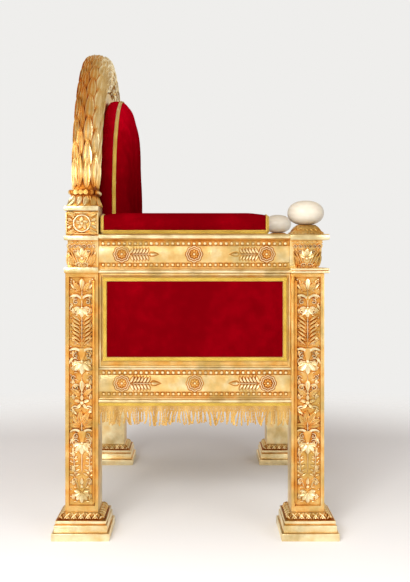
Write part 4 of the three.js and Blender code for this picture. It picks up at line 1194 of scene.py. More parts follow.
def rail_relief(face, out, bottom):
    """Darker in the bead channels, grooves and field, palest on the mouldings: painted shade and
    painted highlight.
    """
    middle = bottom + RAIL_HEIGHT / 2

    def rule(point):
        if (face - point).dot(out) > 0.9 * MM:
            return UPPER_CHANNEL_TONE if point.z > middle else LOWER_CHANNEL_TONE
        plain = 12 * MM < point.z - bottom < 77 * MM
        return FIELD_TONE if plain else MOULDING_TONE

    return rule


def dressed_rail(name, start, length, out, bottom, top, sprays):
    """A rail: its moulded body, two rows of beads, three rosettes and sprays beside them."""
    along = UP.cross(out) * length
    body = moulding_bar(rail_section(RAIL_HEIGHT / MM, top), start + UP * bottom, along, UP, out)
    mark_relief(body, rail_relief(start, out, bottom))
    parts = [body]
    side = along.normalized()
    count = int(length / BEAD_PITCH)
    slack = (length - count * BEAD_PITCH) / 2
    for row in BEAD_ROWS:
        for i in range(count):
            spot = start + side * (slack + (i + 0.5) * BEAD_PITCH) + UP * (bottom + row)
            # The lower row's beads are painted in shade
            kind = bead if row > RAIL_HEIGHT / 2 else shaded_bead
            parts.append(stamp(kind, on_face(spot - out * 2.0 * MM, UP, out)))
    field = bottom + (BEAD_ROWS[0] + BEAD_ROWS[1]) / 2
    for share in (ROSETTE_INSET / length, 0.5, 1 - ROSETTE_INSET / length):
        spot = start + side * (share * length) + UP * field
        parts.append(stamp(rosette, on_face(spot, UP, out)))
    reach = ROSETTE_INSET + 17 * MM
    for spot, way in ((start + side * reach, side), (start + side * (length - reach), -side)):
        parts.append(stamp(fern, on_face(spot + UP * field, way, out) @ Matrix.Scale(sprays, 4)))
    return joined(name, parts)


# Hoop

HOOP_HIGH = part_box("hoop")[1]
HOOP_DEEP = 56 * MM
HOOP_BACK_Y = HOOP_HIGH.y - 10 * MM
HOOP_CENTRE_Z = HEAD_TOP + 39 * MM
HOOP_OUTER = HOOP_HIGH.z - HOOP_CENTRE_Z - 2 * MM
HOOP_WIDTH = 98 * MM
HOOP_LEAF_RISE = 5 * MM
HOOP_MIDDLE = HOOP_OUTER - HOOP_WIDTH / 2
RIM_HALF = HOOP_WIDTH / 2 - HOOP_LEAF_RISE
RIM_CORNER = 20 * MM
RIM_ARC = math.pi / 2 * RIM_CORNER
RIM_SIDE = HOOP_DEEP - RIM_CORNER
RIM_FRONT = 2 * (RIM_HALF - RIM_CORNER)
RIM_BACK = RIM_HALF - 5 * MM
RIM_LENGTH = 2 * RIM_SIDE + 2 * RIM_ARC + RIM_FRONT
HOOP_TIERS = 9
HOOP_COLUMNS = 10
HOOP_EDGE_LEAF = 7 * MM  # how far the outermost leaves lie in from the hoop's back edges
LAUREL_LENGTH = 82


def rim(distance):
    """A place (reach, y) and the way out of it, at a distance round the hoop's section."""
    back, front = HOOP_BACK_Y, HOOP_BACK_Y - HOOP_DEEP
    if distance > RIM_LENGTH / 2:
        (reach, y), (away, ahead) = rim(RIM_LENGTH - distance)
        return (-reach, y), (-away, ahead)
    if distance <= RIM_SIDE:
        off = distance / (0.6 * RIM_SIDE) - 1
        bow = (1.5 if off > 0 else 1.5 - 6.5 * off * off) * MM
        return (RIM_HALF + bow, back - distance), (1.0, 0.0)
    if distance <= RIM_SIDE + RIM_ARC:
        turn = (distance - RIM_SIDE) / RIM_CORNER
        away, ahead = math.cos(turn), -math.sin(turn)
        reach = RIM_HALF - RIM_CORNER + RIM_CORNER * away
        return (reach, front + RIM_CORNER + RIM_CORNER * ahead), (away, ahead)
    return (RIM_HALF - RIM_CORNER - (distance - RIM_SIDE - RIM_ARC), front), (0.0, -1.0)


def hoop_body():
    """The bare hoop: its section spun about the centre from one post to the other."""
    steps = 22
    section = [rim(RIM_LENGTH * i / steps)[0] for i in range(steps + 1)]
    flat_plate([(-(HOOP_MIDDLE + reach), y, HOOP_CENTRE_Z) for reach, y in section])
    bpy.ops.mesh.spin(steps=72, angle=math.pi, center=(0, 0, HOOP_CENTRE_Z), axis=(0, 1, 0))
    closed_up(THRONE_GAP)
    body = to_object()
    if min(point.co.z for point in body.data.vertices) < HOOP_CENTRE_Z - 0.1:
        turned_over = Matrix.Translation((0, 0, 2 * HOOP_CENTRE_Z)) @ Matrix.Scale(-1, 4, UP)
        body.data.transform(turned_over)
        body.data.flip_normals()
    return mark_relief(body, lambda point: HOOP_BACK_TONE if point.y > HOOP_BACK_Y - 0.5 * MM
                       else HOOP_GROUND_TONE)


def wrapped(shape, centre, start, side, scale=1.0):
    """A leaf laid on the hoop: across it runs round the section, and along it towards the crown."""
    copy = stamp(shape, Matrix.Scale(MM * scale, 4))
    for point in copy.data.vertices:
        (reach, y), (away, ahead) = rim(min(RIM_LENGTH, max(0.0, centre + point.co.x)))
        turn = start + point.co.y / HOOP_MIDDLE
        radius = HOOP_MIDDLE + reach + away * point.co.z
        point.co = (side * radius * math.cos(turn), y + ahead * point.co.z,
                    HOOP_CENTRE_Z + radius * math.sin(turn))
    if side > 0:
        copy.data.flip_normals()
    return copy


def cup_rim(distance):
    """The hoop's section closed along its flat back, with ways out that turn at the corners."""
    distance %= RIM_LENGTH + 2 * RIM_BACK
    if distance <= RIM_LENGTH:
        (reach, y), (away, ahead) = rim(distance)
        corner = max(0.0, 1 - min(distance, RIM_LENGTH - distance) / (6 * MM))
        return (reach, y), (away, ahead + corner)
    over = distance - RIM_LENGTH
    reach = over - RIM_BACK
    corner = max(0.0, 1 - min(over, 2 * RIM_BACK - over) / (6 * MM))
    return (reach, HOOP_BACK_Y), (math.copysign(corner, reach), 1.0)


CUP_FLARE = 9.5 * MM
CUP_LENGTH = RIM_LENGTH + 2 * RIM_BACK
CUP_LEAVES = 17
CUP_BEADS = 22


def leaf_cups(side):
    """The flared leaf cup on a post's head, and the ring of beads above it."""
    foot_z = HEAD_TOP + 0.3 * MM
    rise = HOOP_CENTRE_Z - foot_z
    heights = [(0.0, 1.0), (0.1, 0.95), (0.32, 0.45), (0.6, 0.1), (0.72, 0.05), (0.76, 0.22),
               (0.86, 0.30), (0.96, 0.22), (1.0, 0.05)]
    steps = 40
    section = [cup_rim(CUP_LENGTH * i / steps) for i in range(steps)]
    bpy.ops.mesh.primitive_circle_add(vertices=steps, radius=1, fill_type="NGON")
    to_edit()
    for _ in heights[1:]:
        bpy.ops.mesh.extrude_region_move(TRANSFORM_OT_translate={"value": (0, 0, 1)})
    mesh = bmesh.from_edit_mesh(bpy.context.object.data)
    levels = {}
    for point in mesh.verts:
        levels.setdefault(round(point.co.z), []).append(point)
    for number, points in levels.items():
        share, grow = heights[number]
        points.sort(key=lambda p: math.atan2(-p.co.x, p.co.y) % (2 * math.pi))
        for point, (spot, way) in zip(points, section):
            point.co = cup_place(side, spot, way, CUP_FLARE * grow, foot_z + rise * share)
    bmesh.update_edit_mesh(bpy.context.object.data)
    closed_up(THRONE_GAP)
    body = to_object()
    parts = [mark_relief(body, lambda point: CUP_TONE)]
    count = CUP_LEAVES
    for i in range(count):
        for shape, offset, scale in ((broad, 0.5, 0.86), (lance, 0.0, 0.46)):
            centre = CUP_LENGTH * (i + offset) / count
            copy = stamp(shape, Matrix.Scale(MM * scale, 4))
            for point in copy.data.vertices:
                spot, way = cup_rim(centre + point.co.x)
                share = 0.70 - point.co.y / rise
                grow = CUP_FLARE * max(0.0, 1 - share / 0.7) ** 1.5 + 0.3 * MM + 0.7 * point.co.z
                point.co = cup_place(side, spot, way, grow, max(foot_z, foot_z + rise * share))
            if side < 0:
                copy.data.flip_normals()
            parts.append(copy)
    for i in range(CUP_BEADS):
        (reach, y), (away, ahead) = cup_rim(CUP_LENGTH * (i + 0.5) / CUP_BEADS)
        spot = cup_place(side, (reach, y), (away, ahead), 2.5 * MM, foot_z + rise * 0.86)
        facing = on_face(spot, UP, Vector((side * away, ahead, 0)).normalized())
        parts.append(stamp(bead, facing @ Matrix.Scale(1.36, 4)))
    return parts


def cup_place(side, spot, way, grow, z):
    """A point that stands out from the cup's section; towards the velvet it stands out less."""
    reach, y = spot
    away, ahead = way
    inner = 1 if reach < 0 else 0.35
    return Vector((side * (HOOP_MIDDLE - reach - away * grow * inner), y + ahead * grow, z))


def laurel_hoop():
    laurel = leaf("laurel", LAUREL_LENGTH, 25, 3.8, belly=0.42, curl=5.6, blunt=1.05, rim=0.85,
                  along=10, across=8)
    spear = leaf("spear", 74, 20, 3.6, belly=0.42, curl=4.4, blunt=0.8, rim=0.85, along=8, across=8)
    parts = [hoop_body()]
    pitch = math.pi / 2 / (HOOP_TIERS + 0.35)
    column = RIM_LENGTH / HOOP_COLUMNS
    for side in (-1, 1):
        for tier in range(HOOP_TIERS):
            for number in range(HOOP_COLUMNS + 1):
                late = 0.5 if number % 2 else 0.0
                start = (tier + late - 0.45) * pitch
                centre = number * column
                if number == 0:
                    centre += HOOP_EDGE_LEAF
                elif number == HOOP_COLUMNS:
                    centre -= HOOP_EDGE_LEAF
                left = (math.pi / 2 + 0.03 - start) * HOOP_MIDDLE / (LAUREL_LENGTH * MM)
                if start < 0:
                    parts.append(wrapped(spear, centre, 0.004, side))
                elif left > 0.1:
                    size = min(1.0, max(0.5, left))
                    parts.append(wrapped(laurel, centre, start, side, size))
        parts += leaf_cups(side)
    # A last tier lies across the crown, where the leaves of both sides meet
    for number in range(HOOP_COLUMNS + 1):
        parts.append(wrapped(laurel, number * column, math.pi / 2 - 0.1, -1, 0.8))
    for shape in (laurel, spear):
        bpy.data.objects.remove(shape)
    hoop = joined("laurel_hoop", parts)
    marks = hoop.data.attributes["relief"].data
    for mark, point in zip(marks, hoop.data.vertices):
        # Painted light: paler low down and towards the velvet as painted highlight, deeper towards
        # the crown as painted shade, where its upper faces mirror a dark room
        share = min(1.0, max(0.0, (point.co.z - HOOP_CENTRE_Z) / (0.75 * HOOP_OUTER)))
        ahead = min(1.0, max(0.0, (HOOP_BACK_Y - 38 * MM - point.co.y) / (14 * MM)))
        behind = max(0.0, 1 - (HOOP_BACK_Y - point.co.y) / (16 * MM))
        mark.value = (mark.value * (1.2 - 0.32 * share * (1 - ahead))
                      + ahead * (0.62 * share - 0.32) + 0.22 * behind * (1 - share))
    return hoop


# Velvet, braid and fringe

BRAID_WIDTH = 9.5 * MM
UPRIGHT_BRAID = 9 * MM
REAR_PANEL = 3 * MM     # how thick the velvet panel of the rear is at its edge
CROWN_DROP = 60 * MM    # how far the back's fullest place lies below the hoop's centre


def inflate(pad, pressure, cap, voxel=5 * MM):
    """Blows a pad up as sewn cloth; no point moves further than the cap."""
    use_modifier(pad, "REMESH", mode="VOXEL", voxel_size=voxel)
    before = [point.co.copy() for point in pad.data.vertices]
    cloth = pad.modifiers.new("cloth", "CLOTH")
    cloth.settings.use_pressure = True
    cloth.settings.uniform_pressure_force = pressure
    cloth.settings.effector_weights.gravity = 0
    cloth.settings.quality = 5
    cloth.settings.mass = 0.3
    cloth.settings.tension_stiffness = 15
    cloth.settings.compression_stiffness = 15
    cloth.settings.bending_stiffness = 0.5
    cloth.point_cache.frame_start = 1
    cloth.point_cache.frame_end = 20
    scene = bpy.context.scene
    for step in range(1, 21):
        scene.frame_set(step)
    chosen(pad)
    bpy.ops.object.modifier_apply(modifier=cloth.name)
    scene.frame_set(1)
    for point, start in zip(pad.data.vertices, before):
        moved = point.co - start
        if moved.length > cap:
            point.co = start + moved * (cap / moved.length)
    return smooth_over(pad)


def smooth_over(pad):
    use_modifier(pad, "SMOOTH", factor=0.5, iterations=6)
    return use_modifier(pad, "SUBSURF", levels=1, render_levels=1)


def rounded_block(x0, x1, y0, y1, z0, z1, radius):
    """A soft block with rounded edges."""
    middle = ((x0 + x1) / 2, (y0 + y1) / 2, (z0 + z1) / 2)
    bpy.ops.mesh.primitive_cube_add(size=1, location=middle)
    to_edit()
    bpy.ops.transform.resize(value=(x1 - x0, y1 - y0, z1 - z0), center_override=middle)
    bpy.ops.mesh.bevel(offset=radius, segments=4, affect="EDGES")
    closed_up(THRONE_GAP)
    return settle(to_object())


def skin_of(piece):
    return BVHTree.FromObject(piece, bpy.context.evaluated_depsgraph_get())


def braid_strip(name, points, ways, width, thickness=2.6 * MM, closed=False):
    """A flat braid along points; ways are its outward directions. Its UV map runs along it."""
    count = len(points)
    profile = [(-0.5, 0.0), (-0.5, 0.55), (-0.38, 0.95), (0, 0.8), (0.38, 0.95), (0.5, 0.55),
               (0.5, 0.0)]
    rows = []
    run = 0.0
    runs = []
    for i, (point, out) in enumerate(zip(points, ways)):
        before = points[(i - 1) % count] if closed or i > 0 else point
        after = points[(i + 1) % count] if closed or i < count - 1 else point
        side = (after - before).cross(out).normalized()
        if i:
            run += (point - points[i - 1]).length
        runs.append(run)
        rows.append([point + side * width * across + out * thickness * height
                     for across, height in profile])
    mesh = bpy.data.meshes.new(name)
    wide = len(rows[0])
    faces = []
    last = count if closed else count - 1
    for i in range(last):
        a, b = i * wide, ((i + 1) % count) * wide
        for j in range(wide):
            k = (j + 1) % wide
            faces.append((a + j, a + k, b + k, b + j))
    if not closed:
        faces.append(tuple(range(wide)))
        faces.append(tuple((count - 1) * wide + j for j in reversed(range(wide))))
    mesh.from_pydata([p for row in rows for p in row], [], faces)
    layer = mesh.uv_layers.new(name="braid")
    length = run + ((points[0] - points[-1]).length if closed else 0)
    for polygon in mesh.polygons:
        first, final = min(polygon.vertices), max(polygon.vertices)
        wraps = closed and final >= (count - 1) * wide and first < wide
        for k in polygon.loop_indices:
            row, column = divmod(mesh.loops[k].vertex_index, wide)
            along = runs[row] + (length if wraps and row == 0 else 0)
            layer.data[k].uv = (along, profile[column][0] + 0.5)
    piece = bpy.data.objects.new(name, mesh)
    bpy.context.scene.collection.objects.link(piece)
    chosen(piece)
    to_edit()
    bpy.ops.mesh.normals_make_consistent(inside=False)
    return to_object()


def between(first, second, step=6 * MM):
    """Evenly spaced points from one place up to, and not with, another."""
    count = max(1, round((second - first).length / step))
    return [first.lerp(second, i / count) for i in range(count)]


def ring_path(corners):
    path = []
    for first, second in zip(corners, corners[1:] + corners[:1]):
        path += between(first, second)
    return path


def taut_panel(name, low, high, out, crown, margin, cells=28):
    """Velvet stretched over a thin pad: a closed slab with a swelling, faintly uneven face."""
    bpy.ops.mesh.primitive_grid_add(x_subdivisions=cells, y_subdivisions=cells, size=2)
    to_edit()
    bpy.ops.mesh.extrude_region_move(TRANSFORM_OT_translate={"value": (0, 0, 1)})
    middle, half = (low + high) / 2, (high - low) / 2
    middle -= out * abs(half.dot(out))
    side = out.cross(UP)

    def place(point):
        edge = (1 - point.x ** 6) * (1 - point.y ** 6)
        swell = (1 - point.x ** 2) * (1 - point.y ** 2)
        wave = math.sin(7 * point.x + 1.3) * math.cos(5 * point.y) * 0.4 * MM
        base = middle + side * point.x * abs(half.dot(side)) + UP * point.y * half.z
        if point.z < 0.5:
            return base
        return base + out * (margin + edge * crown * 0.55 + swell * crown * 0.45 + wave * edge)

    shape_points(place)
    closed_up(THRONE_GAP)
    return to_object(name)


def thread_curve(name, splines, radius):
    """Many fine threads as one mesh of thin tubes."""
    curve = bpy.data.curves.new(name, "CURVE")
    curve.dimensions = "3D"
    curve.bevel_depth = radius
    curve.bevel_resolution = 1
    curve.use_fill_caps = True
    for points in splines:
        spline = curve.splines.new("POLY")
        spline.points.add(len(points) - 1)
        for target, point in zip(spline.points, points):
            target.co = (*point, 1)
    threads = bpy.data.objects.new(name, curve)
    bpy.context.scene.collection.objects.link(threads)
    chosen(threads)
    bpy.ops.object.convert(target="MESH")
    return bpy.context.object


FRINGE_HEADER = 8 * MM
FRINGE_NET = 12 * MM
NET_PITCH = 2.1 * MM
NET_THREAD = 0.85 * MM
CORD_PITCH = 4.5 * MM
CORD_RADIUS = 1.3 * MM
CORD_TWIST = 14         # how far the two strands of a cord turn over its length, in radians


def fringe(name, start, length, side, out, top, drop, chance):
    """A braid header, a slanting net below it, and twisted cords that hang unevenly."""
    line = [start + side * (length * i / 60) + UP * (top - FRINGE_HEADER / 2) for i in range(61)]
    header = braid_strip(f"{name}_header", line, [out] * len(line), FRINGE_HEADER, 3 * MM)
    net_top, net_low = top - FRINGE_HEADER + 1 * MM, top - FRINGE_HEADER - FRINGE_NET

    def hung(along, z, ahead):
        return start + side * min(length, max(0.0, along)) + UP * z + out * ahead

    nets = []
    for i in range(int(length / NET_PITCH)):
        x = (i + 0.5) * NET_PITCH
        for way in (-1, 1):
            slant = way * chance.uniform(2.5, 5.5) * MM
            low_end = net_low + chance.uniform(-2, 2) * MM
            nets.append([hung(x + slant * share, net_top + (low_end - net_top) * share,
                              (1.4 + 0.5 * way + 0.6 * math.sin(3 * share)) * MM)
                         for share in (0, 0.33, 0.67, 1)])
    cords = []
    drift = 0.0
    for i in range(int(length / CORD_PITCH)):
        x = (i + 0.5) * CORD_PITCH
        drift = 0.72 * drift + chance.uniform(-0.16, 0.16)
        reach = (drop - FRINGE_HEADER - FRINGE_NET) * chance.uniform(0.80, 1.14)
        lean = drift + chance.uniform(-0.12, 0.12)
        bow = chance.uniform(-3.0, 3.0) * MM
        puff = chance.uniform(-1.5, 3.0) * MM
        for strand in (0, math.pi):
            path = []
            for j in range(9):
                share = j / 8
                turn = CORD_TWIST * share + strand + i
                path.append(hung(x + lean * reach * share + bow * math.sin(math.pi * share)
                                 + 1.0 * MM * math.cos(turn), net_low + 2 * MM - reach * share,
                                 1.8 * MM + puff * share + 0.9 * MM * math.sin(turn)))
            cords.append(path)
    net = thread_curve(f"{name}_net", nets, NET_THREAD)
    threads = joined(name, [thread_curve(name, cords, CORD_RADIUS), net])
    return header, threads


def side_frame():
    """The board behind a side panel, with a raised gilded border."""
    low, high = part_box("side_frame_left")
    bpy.ops.mesh.primitive_cube_add(size=1, location=(low + high) / 2)
    to_edit()
    bpy.ops.transform.resize(value=high - low, center_override=(low + high) / 2)
    pick_faces(lambda middle, normal: normal.x < -0.9)
    bpy.ops.mesh.inset(thickness=2 * MM, depth=1.2 * MM)
    bpy.ops.mesh.inset(thickness=3 * MM, depth=0)
    bpy.ops.mesh.inset(thickness=1.5 * MM, depth=-1.6 * MM)
    board = settle(to_object())
    soften_edges(board, 0.6 * MM)
    board.name = "side_board"
    return mark_relief(board, lambda point: SIDE_FRAME_TONE)


def shape_of_arch(radius, foot_z, centre_z, steps=56):
    """The outline of the back, from its left foot over the crown to its right foot, as (x, z)."""
    points = [(-radius, foot_z + (centre_z - foot_z) * i / 10) for i in range(10)]
    turns = [math.pi * i / steps for i in range(steps + 1)]
    points += [(-radius * math.cos(turn), centre_z + radius * math.sin(turn)) for turn in turns]
    points += [(radius, centre_z - (centre_z - foot_z) * (i + 1) / 10) for i in range(10)]
    return points


def arched_slab(name, outline, y0, y1):
    """A board or pad with an arched outline between two depths."""
    flat_plate([(x, y0, z) for x, z in outline])
    bpy.ops.mesh.extrude_region_move(TRANSFORM_OT_translate={"value": (0, y1 - y0, 0)})
    closed_up(THRONE_GAP)
    return to_object(name)


def crown(piece, out, centre, steps):
    """Raises a face in rings towards its middle. A step is its rise and share of the width."""
    chosen(piece)
    to_edit()
    pick_faces(lambda middle, normal: normal.dot(out) > 0.9)
    last = 1.0
    middle = Vector(centre)
    for rise, share in steps:
        middle = middle + out * rise
        bpy.ops.mesh.extrude_region_move(TRANSFORM_OT_translate={"value": out * rise})
        scale = share / last
        bpy.ops.transform.resize(value=(scale, 1, scale), center_override=middle)
        last = share
    return to_object()


def on_skin(skin, start, way, reach=0.3):
    """Where a line from a place meets a piece's surface, and the surface's way out."""
    spot, normal, _, _ = skin.ray_cast(start, way, reach)
    return (spot, normal) if spot is not None else (None, None)


def braid_on(name, piece, starts, ways, width, thickness=2.6 * MM, closed=False):
    """A braid laid on a soft piece, found by looking at it from outside."""
    skin = skin_of(piece)
    points, outs = [], []
    for start, way in zip(starts, ways):
        spot, normal = on_skin(skin, start, way)
        if spot is not None:
            points.append(spot + normal * 0.2 * MM)
            outs.append(normal)
    for _ in range(3):
        outs = [(outs[max(0, i - 1)] + out + outs[min(len(outs) - 1, i + 1)]).normalized()
                for i, out in enumerate(outs)]
    return braid_strip(name, points, outs, width, thickness, closed)


def arm_pad():
    low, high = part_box("arm_pad_left")
    inset = 3 * MM
    pad = rounded_block(low.x + inset, high.x - inset, low.y + inset, high.y - inset, low.z,
                        high.z - inset, 9 * MM)
    pad.name = "arm_pad_velvet"
    inflate(pad, 3.0, 5 * MM, 4 * MM)
    flatten_under(pad, low.z)
    return pad


def flatten_under(pad, level):
    """Rests a pad flat on what carries it."""
    for point in pad.data.vertices:
        point.co.z = max(level, point.co.z)


def seat_cushion():
    low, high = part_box("seat_cushion")
    inset = 7 * MM
    pad = rounded_block(low.x + inset, high.x - inset, low.y + inset, high.y - inset, low.z,
                        high.z - 24 * MM, 20 * MM)
    pad.name = "seat_cushion_velvet"
    inflate(pad, 4.0, 22 * MM, 7 * MM)
    flatten_under(pad, low.z)
    return pad


def back_pad():
    low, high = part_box("back_pad")
    radius = high.x - 6 * MM
    outline = shape_of_arch(radius, low.z + 4 * MM, HOOP_CENTRE_Z)
    front = low.y + 46 * MM
    pad = arched_slab("back_pad_velvet", outline, high.y, front)
    crown(pad, FRONT, (0, front, HOOP_CENTRE_Z - CROWN_DROP),
          [(6 * MM, 0.993), (8 * MM, 0.972), (8 * MM, 0.938), (8 * MM, 0.885), (6 * MM, 0.82),
           (4 * MM, 0.74), (2 * MM, 0.63)])
    inflate(pad, 2.5, 7 * MM, 7 * MM)
    for point in pad.data.vertices:
        point.co.y = min(high.y, point.co.y)
        if point.co.y < front:
            folds = math.sin(point.co.x * 46 + 0.6) + 0.6 * math.sin(point.co.x * 97 + 2)
            point.co.y += folds * 1.3 * MM
    return pad


def finish_soft(piece, material, slot, fill, *nodes):
    finish_piece(piece, material, slot, *nodes)
    return piece


def finish_soft_pair(piece, fill, *nodes):
    for side in finish_pair(piece, VELVET, "velvet", *nodes):
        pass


# The throne

for end, post_y in (("front", POST_FRONT_Y), ("rear", POST_REAR_Y)):
    stepped_foot = foot(f"foot_{end}_left", post_y)
    stepped_foot.name = f"{end}_foot"
    finish_pair(stepped_foot, GOLD, "gilding", f"foot_{end}")
finish_pair(front_post(), GOLD, "gilding", "post_front")
finish_pair(rear_post(), GOLD, "gilding", "post_rear")
finish_pair(arm_block(), GOLD, "gilding", "capital")
finish_pair(ball(), IVORY, "ivory", "ball")

arm_low, arm_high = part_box("arm_rail_left")
side_low, side_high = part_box("side_rail_left")
rail_left = dressed_rail("arm_rail_carved", Vector((RAIL_FACE_X, arm_high.y, 0)),
                         arm_high.y - arm_low.y, LEFT, ARM_Z, 12, 0.98)
finish_pair(rail_left, GOLD, "gilding", "arm_rail")
rail_left = dressed_rail("side_rail_carved", Vector((RAIL_FACE_X, side_high.y, 0)),
                         side_high.y - side_low.y, LEFT, side_low.z, 0, 1.05)
finish_pair(rail_left, GOLD, "gilding", "side_rail")
inner = abs(POST_HIGH.x) - 0.3 * MM
front_face_y = POST_LOW.y + 10 * MM
rear_face_y = POST_REAR_Y + POST_HALF_Y - 10 * MM
finish_piece(dressed_rail("front_rail_carved", Vector((-inner, front_face_y, 0)), 2 * inner, FRONT,
                          side_low.z, 0, 1.2), GOLD, "gilding", "front_rail")
finish_piece(dressed_rail("rear_rail_carved", Vector((inner, rear_face_y, 0)), 2 * inner, BACK,
                          side_low.z, 0, 1.2), GOLD, "gilding", "rear_rail")
finish_piece(laurel_hoop(), GOLD, "gilding", "hoop")
finish_pair(side_frame(), GOLD, "gilding", "side_frame")

# The back's board, the velvet on both its faces and the braid round them

frame_low, frame_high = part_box("back_frame")
arch_radius = HOOP_MIDDLE - HOOP_WIDTH / 2 - 3 * MM
board = arched_slab("back_board", shape_of_arch(arch_radius, frame_low.z, HOOP_CENTRE_Z),
                    frame_low.y, frame_high.y)
soften_edges(board, 0.8 * MM)
mark_relief(board, lambda point: BACK_BOARD_TONE)
finish_piece(board, GOLD, "gilding", "back_frame")

cushion = back_pad()
finish_soft(cushion, VELVET, "velvet", 0.8, "back_pad")
pad_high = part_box("back_pad")[1]
braid_y = pad_high.y - 37 * MM
trim_outline = shape_of_arch(pad_high.x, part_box("seat_cushion")[1].z - 12 * MM, HOOP_CENTRE_Z, 90)
starts, ways = [], []
for x, z in trim_outline:
    away = Vector((x, 0, max(0.0, z - HOOP_CENTRE_Z))).normalized()
    starts.append(Vector((x, braid_y, z)) + away * 40 * MM)
    ways.append(-away)
trim = braid_on("back_braid_woven", cushion, starts, ways, BRAID_WIDTH)
finish_piece(trim, BRAID, "braid", "back_braid")

panel_low, panel_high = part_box("back_panel")
rear_outline = shape_of_arch(panel_high.x, panel_low.z, HOOP_CENTRE_Z)
rear_panel = arched_slab("back_panel_velvet", rear_outline, panel_low.y, panel_low.y + REAR_PANEL)
crown(rear_panel, BACK, (0, panel_low.y + REAR_PANEL, HOOP_CENTRE_Z - CROWN_DROP),
      [(1.4 * MM, 0.95), (1.0 * MM, 0.8), (0.4 * MM, 0.5)])
finish_soft(rear_panel, VELVET, "velvet", 0.9, "back_panel")
edge = [Vector((x * 0.984, panel_low.y + REAR_PANEL, z)) for x, z in
        shape_of_arch(panel_high.x * 0.984, panel_low.z + 5 * MM, HOOP_CENTRE_Z)]
edge += between(edge[-1], edge[0], 12 * MM)[1:]
trim = braid_strip("back_panel_braid_woven", edge, [BACK] * len(edge), BRAID_WIDTH, closed=True)
finish_piece(trim, BRAID, "braid", "back_panel_braid")

# Sides

velvet_low, velvet_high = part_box("side_panel_left")
panel = taut_panel("side_panel_velvet", velvet_low, velvet_high, LEFT, 4.5 * MM, 3 * MM)
finish_soft_pair(panel, 0.85, "side_panel")
half_braid = BRAID_WIDTH / 2
face_x = velvet_high.x - 3.4 * MM
y0, y1 = velvet_low.y + half_braid, velvet_high.y - half_braid
z0, z1 = velvet_low.z + half_braid, velvet_high.z - half_braid
corners = [Vector((face_x, y0, z0)), Vector((face_x, y1, z0)), Vector((face_x, y1, z1)),
           Vector((face_x, y0, z1))]
strips = []
for number, (first, second) in enumerate(zip(corners, corners[1:] + corners[:1])):
    way = (second - first).normalized()
    corner = second + way * half_braid
    line = between(first - way * half_braid, corner) + [corner]
    strips.append(braid_strip(f"strip{number}", line, [LEFT] * len(line), BRAID_WIDTH,
                              (3.2 - 0.2 * (number % 2)) * MM))
finish_pair(joined("side_braid_woven", strips), BRAID, "braid", "side_braid")

lining_low, lining_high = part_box("arm_lining_left")
lining = taut_panel("arm_lining_velvet", lining_low, lining_high, RIGHT, 18 * MM, 3 * MM)
finish_soft_pair(lining, 0.8, "arm_lining")

pad = arm_pad()
low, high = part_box("arm_pad_left")
middle_x, middle_z = (low.x + high.x) / 2, low.z
trims = []
for y in (low.y + 8 * MM, high.y - 8 * MM):
    starts, ways = [], []
    for i in range(41):
        turn = math.pi * i / 40
        away = Vector((-math.cos(turn), 0, math.sin(turn)))
        goal = Vector((middle_x, y, middle_z + (high.z - low.z) * 0.35 * math.sin(turn)))
        starts.append(goal + away * 0.09)
        ways.append(-away)
    trims.append(braid_on("upright", pad, starts, ways, UPRIGHT_BRAID))
starts, ways = [], []
foot_z = low.z + 5.2 * MM
ring = ring_path([Vector((low.x, low.y, foot_z)), Vector((high.x, low.y, foot_z)),
                  Vector((high.x, high.y, foot_z)), Vector((low.x, high.y, foot_z))])
for spot in ring:
    centre = Vector((middle_x, min(high.y - 30 * MM, max(low.y + 30 * MM, spot.y)), foot_z))
    away = (spot - centre).normalized()
    starts.append(centre + away * 0.12)
    ways.append(-away)
trims.append(braid_on("skirt", pad, starts, ways, BRAID_WIDTH, closed=True))
finish_soft_pair(pad, 0.9, "arm_pad")
finish_pair(joined("arm_braid_woven", trims), BRAID, "braid", "arm_braid")

# Seat

seat = seat_cushion()
finish_soft(seat, VELVET, "velvet", 0.7, "seat_cushion")
low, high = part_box("seat_braid")
line = [Vector((low.x + (high.x - low.x) * i / 90, low.y - 30 * MM, (low.z + high.z) / 2))
        for i in range(91)]
trim = braid_on("seat_braid_woven", seat, line, [BACK] * len(line), BRAID_WIDTH)
finish_piece(trim, BRAID, "braid", "seat_braid")
deck_low, deck_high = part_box("seat_deck")
deck = rounded_block(deck_low.x, deck_high.x, deck_low.y, deck_high.y, deck_low.z, deck_high.z,
                     3 * MM)
deck.name = "seat_deck_canvas"
finish_soft(deck, CANVAS, "canvas", 1.0, "seat_deck")

# Fringe

chance = random.Random(7)
fringe_low, fringe_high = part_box("fringe_left")
header, threads = fringe("side_fringe", Vector((fringe_low.x + 2.5 * MM, fringe_high.y, 0)),
                         fringe_high.y - fringe_low.y, FRONT, LEFT, fringe_high.z,
                         fringe_high.z - fringe_low.z, chance)
finish_pair(header, BRAID, "fringe")
finish_pair(threads, SILK, "fringe", "fringe")
fringe_low, fringe_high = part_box("fringe_front")
header, threads = fringe("front_fringe", Vector((fringe_low.x, fringe_high.y - 5.5 * MM, 0)),
                         fringe_high.x - fringe_low.x, RIGHT, FRONT, fringe_high.z,
                         fringe_high.z - fringe_low.z, chance)
finish_piece(header, BRAID, "fringe")
finish_piece(threads, SILK, "fringe", "fringe_front")

for shape in SHAPES + list(shadow_beds.values()):
    bpy.data.objects.remove(shape)

# Floor, lights and air

FLOOR_RADIUS = 5.0

